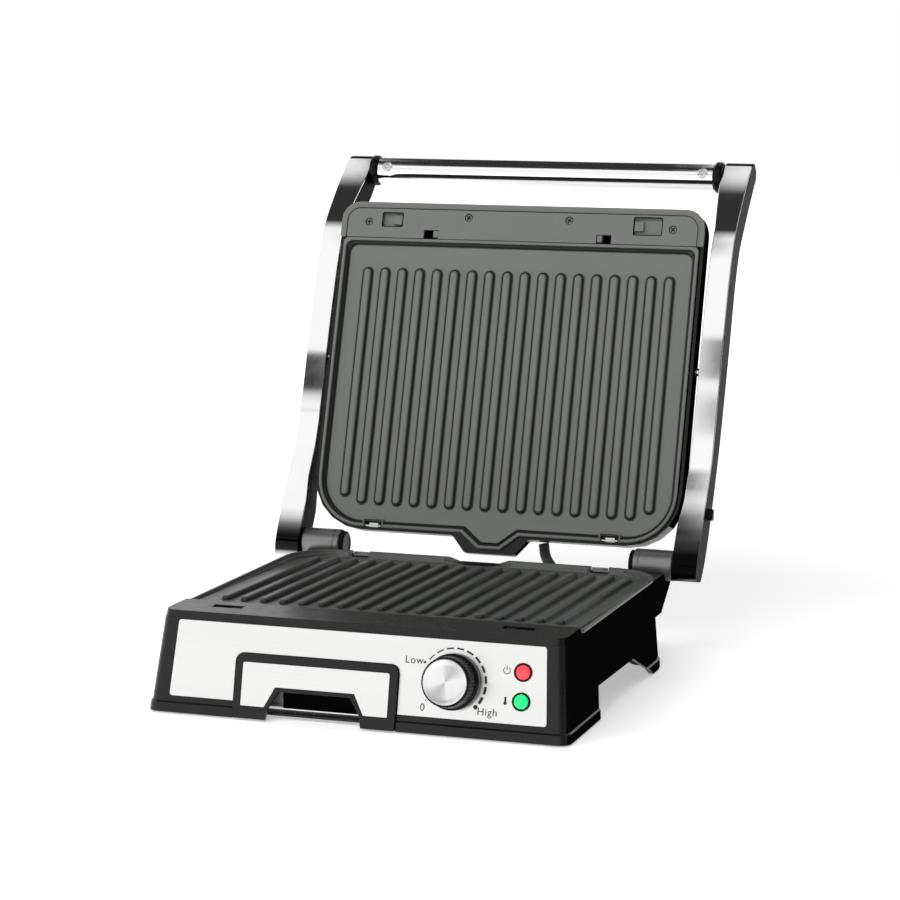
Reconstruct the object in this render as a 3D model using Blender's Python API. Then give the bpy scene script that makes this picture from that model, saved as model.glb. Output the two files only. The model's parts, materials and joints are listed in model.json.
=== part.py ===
"""Panini press: a ribbed contact grill whose lid stands open on two curved chrome arms.

Metres, +Z up. The press faces -Y, X runs along its width and Z = 0 is the worktop.
The origin is on the worktop, under the middle of the open press.
"""
import math

import bmesh
import bpy
from mathutils import Matrix, Vector

# ---------------------------------------------------------------- driving sizes
GAP = 0.0003                    # air between pieces that touch
RUNNING = 0.0005                # air round a piece that slides or turns by hand

OPEN_ANGLE = math.radians(107.1)    # lid against its closed position, as it stands
HINGE_Y = 0.0778
HINGE_Z = 0.0711

# grill plates
PLATE_HALF = 0.1500             # half the width over the rim
LOWER_DEPTH = 0.2350
UPPER_DEPTH = LOWER_DEPTH + 0.0045
PLATE_RIM_Z = 0.0704            # top of the lower plate's rim
PLATE_REAR_Y = 0.0600
PLATE_REAR_R = 0.040            # corners on the hinge side
PLATE_FRONT_R = 0.012
FLANGE_T = 0.0030
FLANGE_W = 0.0050
PLATE_T = 0.0110                # rim to underside
UPPER_RELIEF = 0.0022           # upper plate hollowed on its back, to keep the lid light
CHANNEL_DEEP = 0.0085           # fat channel round the ribbed field
CHANNEL_W = 0.0050
FIELD_DROP = 0.0056             # rim down to the ribbed field
RIB_COUNT = 18
RIB_PITCH = PLATE_HALF / 10
RIB_W = 0.0074
RIB_TOP_DROP = 0.0024
RIB_START = 0.0192              # from the hinge-side rim
RIB_LENGTH = LOWER_DEPTH - 0.0395
OUTER_RIB_SHORTER = 0.0055
SPOUT_HALF = 0.0245
SPOUT_TIP_HALF = 0.0095
SPOUT_REACH = 0.0120
NOTCH_DROP = 0.0052

# base
BASE_HALF_TOP = PLATE_HALF - 0.0006
SIDE_SLOPE = 0.088              # side wall, outward for each metre down
FRONT_FOOT_Y = PLATE_REAR_Y - LOWER_DEPTH - 0.0552
FRONT_LEAN = math.radians(11.64)
BASE_REAR_Y = 0.0616
BASE_FRONT_R = 0.008
BASE_REAR_R = 0.0405
WALL = 0.0028
DECK_T = 0.0035
DECK_Z = 0.0721                 # raised border in front of the lower plate
BORDER_STEP = 0.0004
SHELL_FOOT_Z = 0.0012
SKIRT_H = 0.0065
SKIRT_OUT = 0.0010
ARCH_Z = 0.0242
ARCH_FRONT_Y = FRONT_FOOT_Y + 0.0812
ARCH_REAR_Y = 0.0070
COVER_T = 0.0022
PAD_R = 0.0080
POST_R = 0.0090
VENT_COUNT = 7

# front panel, in the leaning front's own frame: x, s up the slope, n outwards
PANEL_T = 0.0008
PANEL_LOW_HALF = BASE_HALF_TOP - 0.0098
PANEL_HIGH_HALF = BASE_HALF_TOP - 0.0132
PANEL_S = (0.0130, 0.0673)
LAMP_X = BASE_HALF_TOP - 0.0288
KNOB_X = LAMP_X - 0.0492
KNOB_S = 0.0385
KNOB_R = 0.0196
KNOB_CAP_R = 0.0158
KNOB_H = 0.0200
SHAFT_R = 0.0030
LAMP_POWER_S = 0.0488
LAMP_READY_S = 0.0287
LAMP_R = 0.0054
LAMP_RING_R = 0.0064

# drip tray
TRAY_X = -0.0293                # middle of the tray front
TRAY_HALF = 0.0606
TRAY_S = (0.0012, 0.0468)
TRAY_FRAME_W = 0.0055
TRAY_FRAME_T = 0.0034
GRIP_LOW_HALF = 0.0344
GRIP_HIGH_HALF = 0.0266
GRIP_S = 0.0217
PAN_LENGTH = 0.1150
PAN_Z = (0.0050, 0.0220)
PAN_SET_BACK = 0.0170
PAN_WALL = 0.0015
GUIDE_T = 0.0020

# lid, in the lid's frame: x, a up the lid from the hinge axis, b towards the food
LID_HALF = PLATE_HALF + 0.0032
LID_RIM_A = 0.0160              # hinge-side edge of the upper plate
LID_FACE_B = -0.0019            # rim plane of the upper plate
LID_TOP_A = LID_RIM_A + UPPER_DEPTH + 0.0299
LID_TOP_R = 0.0150
LID_REAR_R = 0.0430
LID_LAP = 0.0022                # housing past the plate on the hinge side
LID_DEEP = 0.0370
LID_WALL = 0.0025
FLOAT_A = LID_TOP_A - 0.1288
FLOAT_B = -0.0150
FLOAT_PIN_R = 0.0032
COVER_IN = 0.0160
COVER_SHEET = 0.0005
CLIP_X = PLATE_HALF - 0.0511
CLIP_W = 0.0130
CLIP_T = 0.0012
CLIP_BACK = 0.0004              # from the plate's hinge-side edge
CLIP_BELOW = 0.0015             # past the plate's underside
LATCH_X = PLATE_HALF - 0.0410

# hinge and arms, in the lid's frame too
BARREL_R = 0.0120
BARREL_X = (LID_HALF - 0.0310, LID_HALF + 0.0008)
BARREL_CAP_T = 0.0033
PIN_R = 0.0040
ARM_OUT = LID_HALF + 0.0215
ARM_WIDE = 0.0177
ARM_WIDE_END = 0.0225
ARM_WIDE_FOOT = 0.0200
TRIM_T = 0.0015
HANDLE_R = 0.0109
TUBE_WALL = 0.0010
COLLAR_R = 0.0128
COLLAR_L = 0.0065
HANDLE_A = LID_TOP_A + 0.0416
HANDLE_B = -0.0600
HANDLE_SCREW_R = 0.0045
BUTTON_A = 0.0430
BUTTON_B = -0.0090
BUTTON_LONG = 0.0090
BUTTON_DEEP = 0.0062
BUTTON_OUT = 0.0042

# ---------------------------------------------------------------- derived places
BASE_TOP_Z = PLATE_RIM_Z - FLANGE_T - GAP
PLATE_FRONT_Y = PLATE_REAR_Y - LOWER_DEPTH
LID_BACK_B = LID_FACE_B - LID_DEEP
LID_SEAT_B = LID_FACE_B - FLANGE_T - GAP
STRIP_A = LID_RIM_A + UPPER_DEPTH + GAP
FLOOR_GAP_Z = SHELL_FOOT_Z - GAP
ARM_IN = ARM_OUT - ARM_WIDE
FAR = 0.4                       # long enough for any cutter to pass right through


def front_y(z):
    """Y of the leaning front plane at a height."""
    return FRONT_FOOT_Y + z * math.tan(FRONT_LEAN)


def base_half(z):
    """Half width of the base at a height."""
    return BASE_HALF_TOP + (BASE_TOP_Z - z) * SIDE_SLOPE


# ---------------------------------------------------------------- scene and tools
for old in list(bpy.data.objects):
    bpy.data.objects.remove(old, do_unlink=True)

PARTS = bpy.data.collections.new("panini_press")
CUTTERS = bpy.data.collections.new("cutters")
bpy.context.scene.collection.children.link(PARTS)
bpy.context.scene.collection.children.link(CUTTERS)


def finish(name, colour, roughness, metallic=0.0):
    """Principled material with one plain colour."""
    made = bpy.data.materials.new(name)
    made.use_nodes = True
    shader = made.node_tree.nodes["Principled BSDF"]
    shader.inputs["Base Color"].default_value = (*colour, 1.0)
    shader.inputs["Roughness"].default_value = roughness
    shader.inputs["Metallic"].default_value = metallic
    return made


BLACK = finish("black_plastic", (0.012, 0.012, 0.013), 0.35)
COATING = finish("non_stick_coating", (0.085, 0.088, 0.082), 0.55)
STEEL = finish("brushed_steel", (0.80, 0.80, 0.78), 0.30, 1.0)
CHROME = finish("polished_chrome", (0.88, 0.88, 0.88), 0.06, 1.0)
DARK_METAL = finish("dark_satin_metal", (0.10, 0.10, 0.10), 0.35, 1.0)
ALUMINIUM = finish("aluminium", (0.75, 0.75, 0.76), 0.35, 1.0)
HEATER = finish("heater_sheath", (0.25, 0.23, 0.22), 0.5, 1.0)
RUBBER = finish("rubber", (0.02, 0.02, 0.02), 0.8)
RED_LENS = finish("red_lens", (0.85, 0.02, 0.03), 0.2)
GREEN_LENS = finish("green_lens", (0.0, 0.75, 0.15), 0.2)
LEAD = finish("lead_sleeve", (0.05, 0.05, 0.052), 0.6)


class Frame:
    """A local frame: an empty on a joint's axis and the place its coordinates count from."""

    def __init__(self, name, place, turn=0.0, parent=None, zero=(0, 0, 0)):
        self.empty = bpy.data.objects.new(name, None)
        PARTS.objects.link(self.empty)
        self.empty.location = place
        self.empty.rotation_euler = (turn, 0, 0)
        self.empty.parent = parent.empty if parent else None
        self.zero = Vector(zero)


def place(obj, frame):
    """Put an object into a frame, whose coordinates its mesh is drawn in."""
    if frame is not None:
        obj.parent = frame.empty
        obj.location = -frame.zero


def add(name, bm, material=None, frame=None):
    """A named part from a bmesh, or a cutter when it has no material."""
    bmesh.ops.recalc_face_normals(bm, faces=bm.faces)
    mesh = bpy.data.meshes.new(name)
    bm.to_mesh(mesh)
    bm.free()
    obj = bpy.data.objects.new(name, mesh)
    if material is None:
        CUTTERS.objects.link(obj)
        obj.hide_render = True
        obj.display_type = "WIRE"
    else:
        PARTS.objects.link(obj)
        mesh.materials.append(material)
    place(obj, frame)
    return obj


def loft(name, rings, material=None, frame=None):
    """Closed body through rings of equally many points, capped at both ends."""
    bm = bmesh.new()
    loops = [[bm.verts.new(p) for p in ring] for ring in rings]
    count = len(loops[0])
    for low, high in zip(loops, loops[1:]):
        for i in range(count):
            j = (i + 1) % count
            bm.faces.new((low[i], low[j], high[j], high[i]))
    bm.faces.new(loops[0])
    bm.faces.new(loops[-1])
    return add(name, bm, material, frame)


def along_z(p, q, h):
    return (p, q, h)


def along_x(p, q, h):
    return (h, p, q)


def along_y(p, q, h):
    return (q, h, p)


def prism(name, outline, low, high, material=None, frame=None, axis=along_z):
    """Flat outline carried straight between two heights along an axis."""
    rings = [[axis(p[0], p[1], h) for p in outline] for h in (low, high)]
    return loft(name, rings, material, frame)


def box(name, low, high, material=None, frame=None, edge=0.0):
    """Box between two corners, its edges rounded by a bevel when an edge is given."""
    bm = bmesh.new()
    bmesh.ops.create_cube(bm, size=1.0)
    size = Vector(high) - Vector(low)
    middle = (Vector(high) + Vector(low)) / 2
    bmesh.ops.transform(bm, matrix=Matrix.Diagonal((*size, 1)), verts=bm.verts)
    bmesh.ops.translate(bm, vec=middle, verts=bm.verts)
    if edge:
        bmesh.ops.bevel(bm, geom=bm.edges, offset=edge, segments=1, affect="EDGES")
    return add(name, bm, material, frame)


TURNED_TO = {
    "z": Matrix.Identity(4),
    "x": Matrix.Rotation(math.pi / 2, 4, "Y"),
    "y": Matrix.Rotation(-math.pi / 2, 4, "X"),
}


def rod(name, middle, length, radius, material=None, frame=None, axis="x", tip=None, sides=24):
    """Cylinder or cone centred on a point, along an axis of its frame."""
    bm = bmesh.new()
    bmesh.ops.create_cone(
        bm,
        cap_ends=True,
        segments=sides,
        radius1=radius,
        radius2=radius if tip is None else tip,
        depth=length,
    )
    bmesh.ops.transform(bm, matrix=TURNED_TO[axis], verts=bm.verts)
    bmesh.ops.translate(bm, vec=Vector(middle), verts=bm.verts)
    return add(name, bm, material, frame)


def boolean(obj, other, operation):
    """Boolean modifier on a part; the other body becomes a hidden guide."""
    if other.name in PARTS.objects:
        PARTS.objects.unlink(other)
        CUTTERS.objects.link(other)
    other.hide_render = True
    other.display_type = "WIRE"
    modifier = obj.modifiers.new(other.name, "BOOLEAN")
    modifier.operation = operation
    modifier.solver = "EXACT"
    modifier.object = other


def cut(obj, *cutters):
    for cutter in cutters:
        boolean(obj, cutter, "DIFFERENCE")


def fuse(obj, *others):
    for other in others:
        boolean(obj, other, "UNION")


def rounded(corners, steps=5):
    """Outline from (x, y, radius) corners, each turned into an arc of a few steps."""
    points = []
    count = len(corners)
    for i, (x, y, radius) in enumerate(corners):
        here = Vector((x, y))
        if radius <= 0:
            points.append(here)
            continue
        before = (Vector(corners[i - 1][:2]) - here).normalized()
        after = (Vector(corners[(i + 1) % count][:2]) - here).normalized()
        half = before.angle(after) / 2
        sweep = math.pi - 2 * half
        centre = here + (before + after).normalized() * radius / math.sin(half)
        start = here + before * radius / math.tan(half) - centre
        end = here + after * radius / math.tan(half) - centre
        for k in range(steps + 1):
            share = k / steps
            spoke = start * math.sin((1 - share) * sweep) + end * math.sin(share * sweep)
            points.append(centre + spoke / math.sin(sweep))
    return points


def tube_curve(name, route, radius, material, frame=None):
    """Round tube with closed ends along a smooth route, made a mesh."""
    data = bpy.data.curves.new(name, "CURVE")
    data.dimensions = "3D"
    data.bevel_depth = radius
    data.bevel_resolution = 2
    data.use_fill_caps = True
    spline = data.splines.new("POLY")
    spline.points.add(len(route) - 1)
    for point, where in zip(spline.points, route):
        point.co = (*where, 1)
    curve = bpy.data.objects.new(name + "_route", data)
    bpy.context.scene.collection.objects.link(curve)
    bpy.context.view_layer.update()
    shape = curve.evaluated_get(bpy.context.evaluated_depsgraph_get())
    mesh = bpy.data.meshes.new_from_object(shape)
    bm = bmesh.new()
    bm.from_mesh(mesh)
    bmesh.ops.remove_doubles(bm, verts=bm.verts, dist=0.00001)
    bpy.data.objects.remove(curve, do_unlink=True)
    bpy.data.meshes.remove(mesh)
    return add(name, bm, material, frame)


def smooth_route(points, per_span=6):
    """Catmull-Rom curve through a route's own points."""
    knots = [Vector(p) for p in points]
    knots = [2 * knots[0] - knots[1]] + knots + [2 * knots[-1] - knots[-2]]
    route = []
    for a, b, c, d in zip(knots, knots[1:], knots[2:], knots[3:]):
        for k in range(per_span):
            t = k / per_span
            route.append(
                0.5 * (2 * b + (c - a) * t + (2 * a - 5 * b + 4 * c - d) * t ** 2
                       + (3 * b - a - 3 * c + d) * t ** 3)
            )
    return route + [knots[-2]]


# ---------------------------------------------------------------- frames
LEAN_TURN = math.pi / 2 - FRONT_LEAN
LID_TURN = math.pi - OPEN_ANGLE
FRONT = Frame("front_plane", (0, FRONT_FOOT_Y, 0), LEAN_TURN)
KNOB_AXIS = Frame("knob_axis", (KNOB_X, KNOB_S, 0), 0.0, FRONT, (KNOB_X, KNOB_S, 0))
HINGE = Frame("hinge_axis", (0, HINGE_Y, HINGE_Z), LID_TURN)
LID = Frame("float_axis", (0, FLOAT_A, FLOAT_B), 0.0, HINGE, (0, FLOAT_A, FLOAT_B))
SIDES = {"left": -1, "right": 1}


# ---------------------------------------------------------------- grill plates
def plate_outline(depth, inset=0.0, spout=False):
    """Rim outline, x and the distance from the hinge-side edge, drawn in by an inset."""
    side = PLATE_HALF - inset
    rear_r = PLATE_REAR_R - inset
    front_r = max(PLATE_FRONT_R - inset, 0.003)
    corners = [(-side, inset, rear_r)]
    if spout:
        corners += [
            (-SPOUT_HALF + inset / 2, inset, 0.003),
            (-SPOUT_TIP_HALF + inset / 2, inset - SPOUT_REACH, 0.002),
            (SPOUT_TIP_HALF - inset / 2, inset - SPOUT_REACH, 0.002),
            (SPOUT_HALF - inset / 2, inset, 0.003),
        ]
    corners += [
        (side, inset, rear_r),
        (side, depth - inset, front_r),
        (-side, depth - inset, front_r),
    ]
    return rounded(corners)


def rib_rings(x, start, end):
    """Foot, shoulder and crest of one rib with round ends."""
    rings = []
    levels = (
        (-FIELD_DROP - 0.0010, RIB_W / 2),
        (-FIELD_DROP, RIB_W / 2),
        (-RIB_TOP_DROP - 0.0012, RIB_W / 2 - 0.0006),
        (-RIB_TOP_DROP, RIB_W / 2 - 0.0020),
    )
    for height, half in levels:
        inset = RIB_W / 2 - half
        low = start + RIB_W / 2
        high = end - RIB_W / 2
        ring = []
        for k in range(9):
            turn = math.pi + math.pi * k / 8
            ring.append((x + half * math.cos(turn), low + (half - inset / 4) * math.sin(turn), height))
        for k in range(9):
            turn = math.pi * k / 8
            ring.append((x + half * math.cos(turn), high + (half - inset / 4) * math.sin(turn), height))
        rings.append(ring)
    return rings


def ribs(name, frame, shift):
    """All ribs of a plate as one group of bodies, outer ones a little shorter."""
    bm = bmesh.new()
    for number in range(RIB_COUNT):
        x = (number - (RIB_COUNT - 1) / 2) * RIB_PITCH
        outer = number in (0, RIB_COUNT - 1)
        start = RIB_START + (OUTER_RIB_SHORTER if outer else 0)
        rings = rib_rings(x, start, RIB_START + RIB_LENGTH)
        loops = [[bm.verts.new(Vector(p) + shift) for p in ring] for ring in rings]
        for low, high in zip(loops, loops[1:]):
            for i in range(len(low)):
                j = (i + 1) % len(low)
                bm.faces.new((low[i], low[j], high[j], high[i]))
        bm.faces.new(loops[0])
        bm.faces.new(loops[-1])
    return add(name, bm, None, frame)


def grill_plate(name, depth, frame, shift, spout, relief=0.0):
    """Cast plate: rim flange, tub, fat channel, ribbed field, clip notches and a hollow back."""
    def level(inset, low, high, part, material=None, with_spout=False):
        outline = [(p.x, p.y + shift.y) for p in plate_outline(depth, inset, with_spout)]
        return prism(part, outline, low + shift.z, high + shift.z, material, frame)

    plate = level(0, -FLANGE_T, 0, name, COATING, spout)
    fuse(plate, level(FLANGE_W, -PLATE_T, -FLANGE_T / 2, name + "_tub"))
    cut(plate, level(FLANGE_W + 0.0010, -CHANNEL_DEEP, FAR, name + "_channel"))
    field = FLANGE_W + CHANNEL_W
    fuse(plate, level(field, -CHANNEL_DEEP - 0.0010, -FIELD_DROP, name + "_field"))
    fuse(plate, ribs(name + "_ribs", frame, shift))
    if relief:
        cut(plate, level(field, -PLATE_T - 0.0010, -PLATE_T + relief, name + "_relief"))
    for side, sign in SIDES.items():
        low = (sign * CLIP_X - CLIP_W / 2 - RUNNING, shift.y - 0.010, shift.z - FAR)
        high = (sign * CLIP_X + CLIP_W / 2 + RUNNING, shift.y + FLANGE_W - 0.0010, shift.z + FAR)
        cut(plate, box(f"{name}_clip_notch_{side}", low, high, None, frame))
    return plate


LOWER = Frame("lower_plate_frame", (0, PLATE_REAR_Y, PLATE_RIM_Z))
LOWER.empty.rotation_euler = (0, 0, math.pi)
lower_plate = grill_plate("lower_plate", LOWER_DEPTH, LOWER, Vector((0, 0, 0)), False)
notch = [
    (-SPOUT_TIP_HALF, -NOTCH_DROP),
    (SPOUT_TIP_HALF, -NOTCH_DROP),
    (SPOUT_HALF, FLANGE_T),
    (-SPOUT_HALF, FLANGE_T),
]
notch_outline = [(q, p) for p, q in notch]
cut(lower_plate, prism("spout_notch", notch_outline, -0.01, FLANGE_W + 0.0030, None, LOWER, along_y))
drain_v = LOWER_DEPTH - FLANGE_W - CHANNEL_W / 2
cut(lower_plate, box(
    "drain_hole",
    (-TRAY_X - 0.0070, drain_v - 0.0014, -FAR),
    (-TRAY_X + 0.0070, drain_v + 0.0014, FAR),
    None,
    LOWER,
))
upper_seat = Vector((0, LID_RIM_A, LID_FACE_B))
grill_plate("upper_plate", UPPER_DEPTH, LID, upper_seat, True, UPPER_RELIEF)


# ---------------------------------------------------------------- base shell
def base_outline(z, grow=0.0, rear=None):
    """Base outline at a height: front corners tight, hinge-side corners wide."""
    side = base_half(z) + grow
    front = front_y(z) - grow
    back = BASE_REAR_Y + grow
    return rounded([
        (-side, front, BASE_FRONT_R + grow),
        (side, front, BASE_FRONT_R + grow),
        (side, back, BASE_REAR_R + grow),
        (-side, back, BASE_REAR_R + grow),
    ])


def at_height(outline, z):
    return [(p.x, p.y, z) for p in outline]


SKIRT_Z = SHELL_FOOT_Z + SKIRT_H
outer_levels = (
    (SHELL_FOOT_Z, SKIRT_OUT),
    (SKIRT_Z, SKIRT_OUT),
    (SKIRT_Z + SKIRT_OUT, 0.0),
    (BASE_TOP_Z, 0.0),
)
base_shell = loft(
    "base_shell",
    [at_height(base_outline(z, grow), z) for z, grow in outer_levels],
    BLACK,
)
DECK_UNDER_Z = BASE_TOP_Z - DECK_T
inside = loft("base_inside", [at_height(base_outline(z, -WALL), z) for z in (-0.01, DECK_UNDER_Z)])


def border_outline(z):
    """Raised border across the front, up to the lower plate's rim."""
    side = base_half(z) - BORDER_STEP
    front = front_y(z) + BORDER_STEP
    back = PLATE_FRONT_Y - GAP
    return rounded([
        (-side, front, BASE_FRONT_R),
        (side, front, BASE_FRONT_R),
        (side, back, 0.0012),
        (-side, back, 0.0012),
    ])


border = loft(
    "front_border",
    [at_height(border_outline(z), z) for z in (BASE_TOP_Z - 0.001, DECK_Z)],
)
opening = [(-p.x, PLATE_REAR_Y - p.y) for p in plate_outline(LOWER_DEPTH, FLANGE_W - RUNNING)]
saddle = [
    (BASE_REAR_Y - 0.0015, BASE_TOP_Z - 0.0300),
    (HINGE_Y, BASE_TOP_Z - 0.0180),
    (HINGE_Y + BARREL_R, BASE_TOP_Z - 0.0100),
    (HINGE_Y + BARREL_R + 0.0022, BASE_TOP_Z - 0.0012),
    (HINGE_Y + BARREL_R + 0.0010, BASE_TOP_Z - 0.0002),
    (BASE_REAR_Y - 0.0015, BASE_TOP_Z - 0.0002),
]
neck_y = BASE_REAR_Y - BASE_REAR_R
neck = [
    (neck_y, BASE_TOP_Z - 0.0300),
    (BASE_REAR_Y, BASE_TOP_Z - 0.0300),
    (BASE_REAR_Y, BASE_TOP_Z - 0.0002),
    (neck_y, BASE_TOP_Z - 0.0002),
]
for side, sign in SIDES.items():
    low, high = sorted((sign * BARREL_X[0], sign * (BARREL_X[1] - 0.0060)))
    fuse(base_shell, prism("saddle_" + side, saddle, low, high, None, None, along_x))
    fuse(base_shell, prism("saddle_neck_" + side, neck, low, high, None, None, along_x))
cut(base_shell, inside)
fuse(base_shell, border)
cut(base_shell, prism("plate_opening", opening, 0.04, FAR))

arch = [
    (ARCH_FRONT_Y, -0.01),
    (ARCH_REAR_Y, -0.01),
    (ARCH_REAR_Y, 0.0),
    (ARCH_REAR_Y - 0.0100, 0.0060),
    (ARCH_REAR_Y - 0.0530, ARCH_Z - 0.0010),
    (ARCH_FRONT_Y + 0.0060, ARCH_Z),
]
cut(base_shell, prism("side_arches", arch, -FAR, FAR, None, None, along_x))
rear_arch_half = base_half(0) - BASE_REAR_R
cut(base_shell, box(
    "rear_arch",
    (-rear_arch_half, BASE_REAR_Y - 0.02, -0.01),
    (rear_arch_half, BASE_REAR_Y + 0.02, ARCH_Z),
))

FOOT_PLACES = {}
for side, sign in SIDES.items():
    front_x = base_half(0) - WALL - POST_R + 0.0010
    corner_in = (BASE_REAR_R - POST_R) * math.sqrt(0.5)
    rear_x = base_half(0) - BASE_REAR_R + corner_in - 0.0008
    rear_y = BASE_REAR_Y - BASE_REAR_R + corner_in - 0.0008
    FOOT_PLACES["front_" + side] = (sign * front_x, FRONT_FOOT_Y + 0.0170)
    FOOT_PLACES["rear_" + side] = (sign * rear_x, rear_y)
POST_TOP_Z = ARCH_Z - GAP
for name, (x, y) in FOOT_PLACES.items():
    middle = (x, y, (SHELL_FOOT_Z + POST_TOP_Z) / 2)
    fuse(base_shell, rod("post_" + name, middle, POST_TOP_Z - SHELL_FOOT_Z, POST_R, axis="z"))
    rod(
        "foot_pad_" + name,
        (x, y, FLOOR_GAP_Z / 2),
        FLOOR_GAP_Z,
        PAD_R,
        RUBBER,
        axis="z",
    )

cut(base_shell, rod("barrel_seat", (0, HINGE_Y, HINGE_Z), 2 * FAR, BARREL_R + GAP, sides=32))


# ---------------------------------------------------------------- front panel and tray
def trapezoid(low_half, high_half, s_low, s_high, radius, middle=0.0):
    return rounded([
        (middle - low_half, s_low, radius),
        (middle + low_half, s_low, radius),
        (middle + high_half, s_high, radius),
        (middle - high_half, s_high, radius),
    ], 3)


RECESS_N = -PANEL_T - 0.0004
TRAY_CLEAR = 0.0007
panel_outline = trapezoid(PANEL_LOW_HALF, PANEL_HIGH_HALF, *PANEL_S, 0.0020)
recess_outline = trapezoid(
    PANEL_LOW_HALF + GAP,
    PANEL_HIGH_HALF + GAP,
    PANEL_S[0] - GAP,
    PANEL_S[1] + GAP,
    0.0020 + GAP,
)


def tray_outline(grow=0.0, low=None):
    """Tray front: square foot, rounded shoulders."""
    bottom = TRAY_S[0] - grow if low is None else low
    return rounded([
        (TRAY_X - TRAY_HALF - grow, bottom, 0.0015),
        (TRAY_X + TRAY_HALF + grow, bottom, 0.0015),
        (TRAY_X + TRAY_HALF + grow, TRAY_S[1] + grow, 0.0055 + grow),
        (TRAY_X - TRAY_HALF - grow, TRAY_S[1] + grow, 0.0055 + grow),
    ], 4)


cut(base_shell, prism("panel_recess", recess_outline, RECESS_N, 0.02, None, FRONT))
cut(base_shell, prism("tray_recess", tray_outline(TRAY_CLEAR, -0.02), RECESS_N, 0.02, None, FRONT))
PAN_HALF = TRAY_HALF - TRAY_FRAME_W
cut(base_shell, box(
    "tray_mouth",
    (TRAY_X - PAN_HALF - 0.0010, FRONT_FOOT_Y - 0.03, -0.01),
    (TRAY_X + PAN_HALF + 0.0010, FRONT_FOOT_Y + 0.03, PAN_Z[1] + 0.0020),
))
front_panel = prism("front_panel", panel_outline, -PANEL_T - 0.0001, -0.0001, STEEL, FRONT)
cut(front_panel, prism("tray_window", tray_outline(TRAY_CLEAR, -0.02), -0.01, 0.01, None, FRONT))


def front_hole(name, x, s, radius):
    """Round hole through the panel and the shell's front wall."""
    for target in (front_panel, base_shell):
        hole = rod(f"{name}_{target.name}", (x, s, 0), 0.03, radius, None, FRONT, "z")
        cut(target, hole)


front_hole("knob_hole", KNOB_X, KNOB_S, SHAFT_R + RUNNING)
for lamp, s, lens_material in (
    ("power", LAMP_POWER_S, RED_LENS),
    ("ready", LAMP_READY_S, GREEN_LENS),
):
    front_hole(lamp + "_hole", LAMP_X, s, LAMP_R + 0.0004 + GAP)
    ring = rod("lamp_ring_" + lamp, (LAMP_X, s, 0.0006), 0.0008, LAMP_RING_R, BLACK, FRONT, "z")
    sleeve = rod("lamp_sleeve_" + lamp, (LAMP_X, s, -0.0035), 0.0080, LAMP_R + 0.0004, None, FRONT, "z")
    fuse(ring, sleeve)
    bore = rod("lamp_bore_" + lamp, (LAMP_X, s, 0), 0.02, LAMP_R - 0.0004, None, FRONT, "z")
    cut(ring, bore)
    lens = rod(
        "lamp_lens_" + lamp,
        (LAMP_X, s, -0.0028),
        0.0075,
        LAMP_R - 0.0004 - GAP,
        lens_material,
        FRONT,
        "z",
    )
    crown = rod(
        "lamp_crown_" + lamp,
        (LAMP_X, s, 0.0013),
        0.0010,
        LAMP_R - 0.0004 - GAP,
        None,
        FRONT,
        "z",
        LAMP_R - 0.0022,
    )
    fuse(lens, crown)

# tray front: black frame with a finger recess and a steel face let into it
grip = [
    (TRAY_X - GRIP_LOW_HALF - 0.0030, -0.01),
    (TRAY_X + GRIP_LOW_HALF + 0.0030, -0.01),
    (TRAY_X + GRIP_LOW_HALF, 0.0095),
    (TRAY_X + GRIP_HIGH_HALF, GRIP_S),
    (TRAY_X - GRIP_HIGH_HALF, GRIP_S),
    (TRAY_X - GRIP_LOW_HALF, 0.0095),
]
FRAME_BACK_N = RECESS_N + 0.0004
FRAME_FACE_N = FRAME_BACK_N + TRAY_FRAME_T
tray_front = prism("tray_front", tray_outline(), FRAME_BACK_N, FRAME_FACE_N, BLACK, FRONT)
cut(tray_front, prism("finger_grip", grip, -0.05, 0.05, None, FRONT))
face_low = 0.0098
face_outline = rounded([
    (TRAY_X - PAN_HALF, face_low, 0.0008),
    (TRAY_X + PAN_HALF, face_low, 0.0008),
    (TRAY_X + PAN_HALF, TRAY_S[1] - TRAY_FRAME_W, 0.0020),
    (TRAY_X - PAN_HALF, TRAY_S[1] - TRAY_FRAME_W, 0.0020),
], 3)
GRIP_RIM = 0.0026
face_grip = [
    (TRAY_X - GRIP_LOW_HALF - GRIP_RIM - 0.003, -0.01),
    (TRAY_X + GRIP_LOW_HALF + GRIP_RIM + 0.003, -0.01),
    (TRAY_X + GRIP_LOW_HALF + GRIP_RIM, 0.0095),
    (TRAY_X + GRIP_HIGH_HALF + GRIP_RIM, GRIP_S + GRIP_RIM),
    (TRAY_X - GRIP_HIGH_HALF - GRIP_RIM, GRIP_S + GRIP_RIM),
    (TRAY_X - GRIP_LOW_HALF - GRIP_RIM, 0.0095),
]
FACE_SINK = 0.0014
sink = prism("face_recess", face_outline, FRAME_FACE_N - FACE_SINK, 0.05, None, FRONT)
cut(sink, prism("face_recess_grip", face_grip, -0.05, 0.05, None, FRONT))
cut(tray_front, sink)
inner_face = rounded([
    (TRAY_X - PAN_HALF + GAP, face_low + GAP, 0.0006),
    (TRAY_X + PAN_HALF - GAP, face_low + GAP, 0.0006),
    (TRAY_X + PAN_HALF - GAP, TRAY_S[1] - TRAY_FRAME_W - GAP, 0.0017),
    (TRAY_X - PAN_HALF + GAP, TRAY_S[1] - TRAY_FRAME_W - GAP, 0.0017),
], 3)
FACE_LOW_N = FRAME_FACE_N - FACE_SINK + GAP
tray_face = prism("tray_face", inner_face, FACE_LOW_N, FACE_LOW_N + PANEL_T, STEEL, FRONT)
wider_grip = [(x + math.copysign(GAP, x - TRAY_X), s + (GAP if s > 0.01 else 0)) for x, s in face_grip]
cut(tray_face, prism("face_grip", wider_grip, -0.05, 0.05, None, FRONT))

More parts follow.
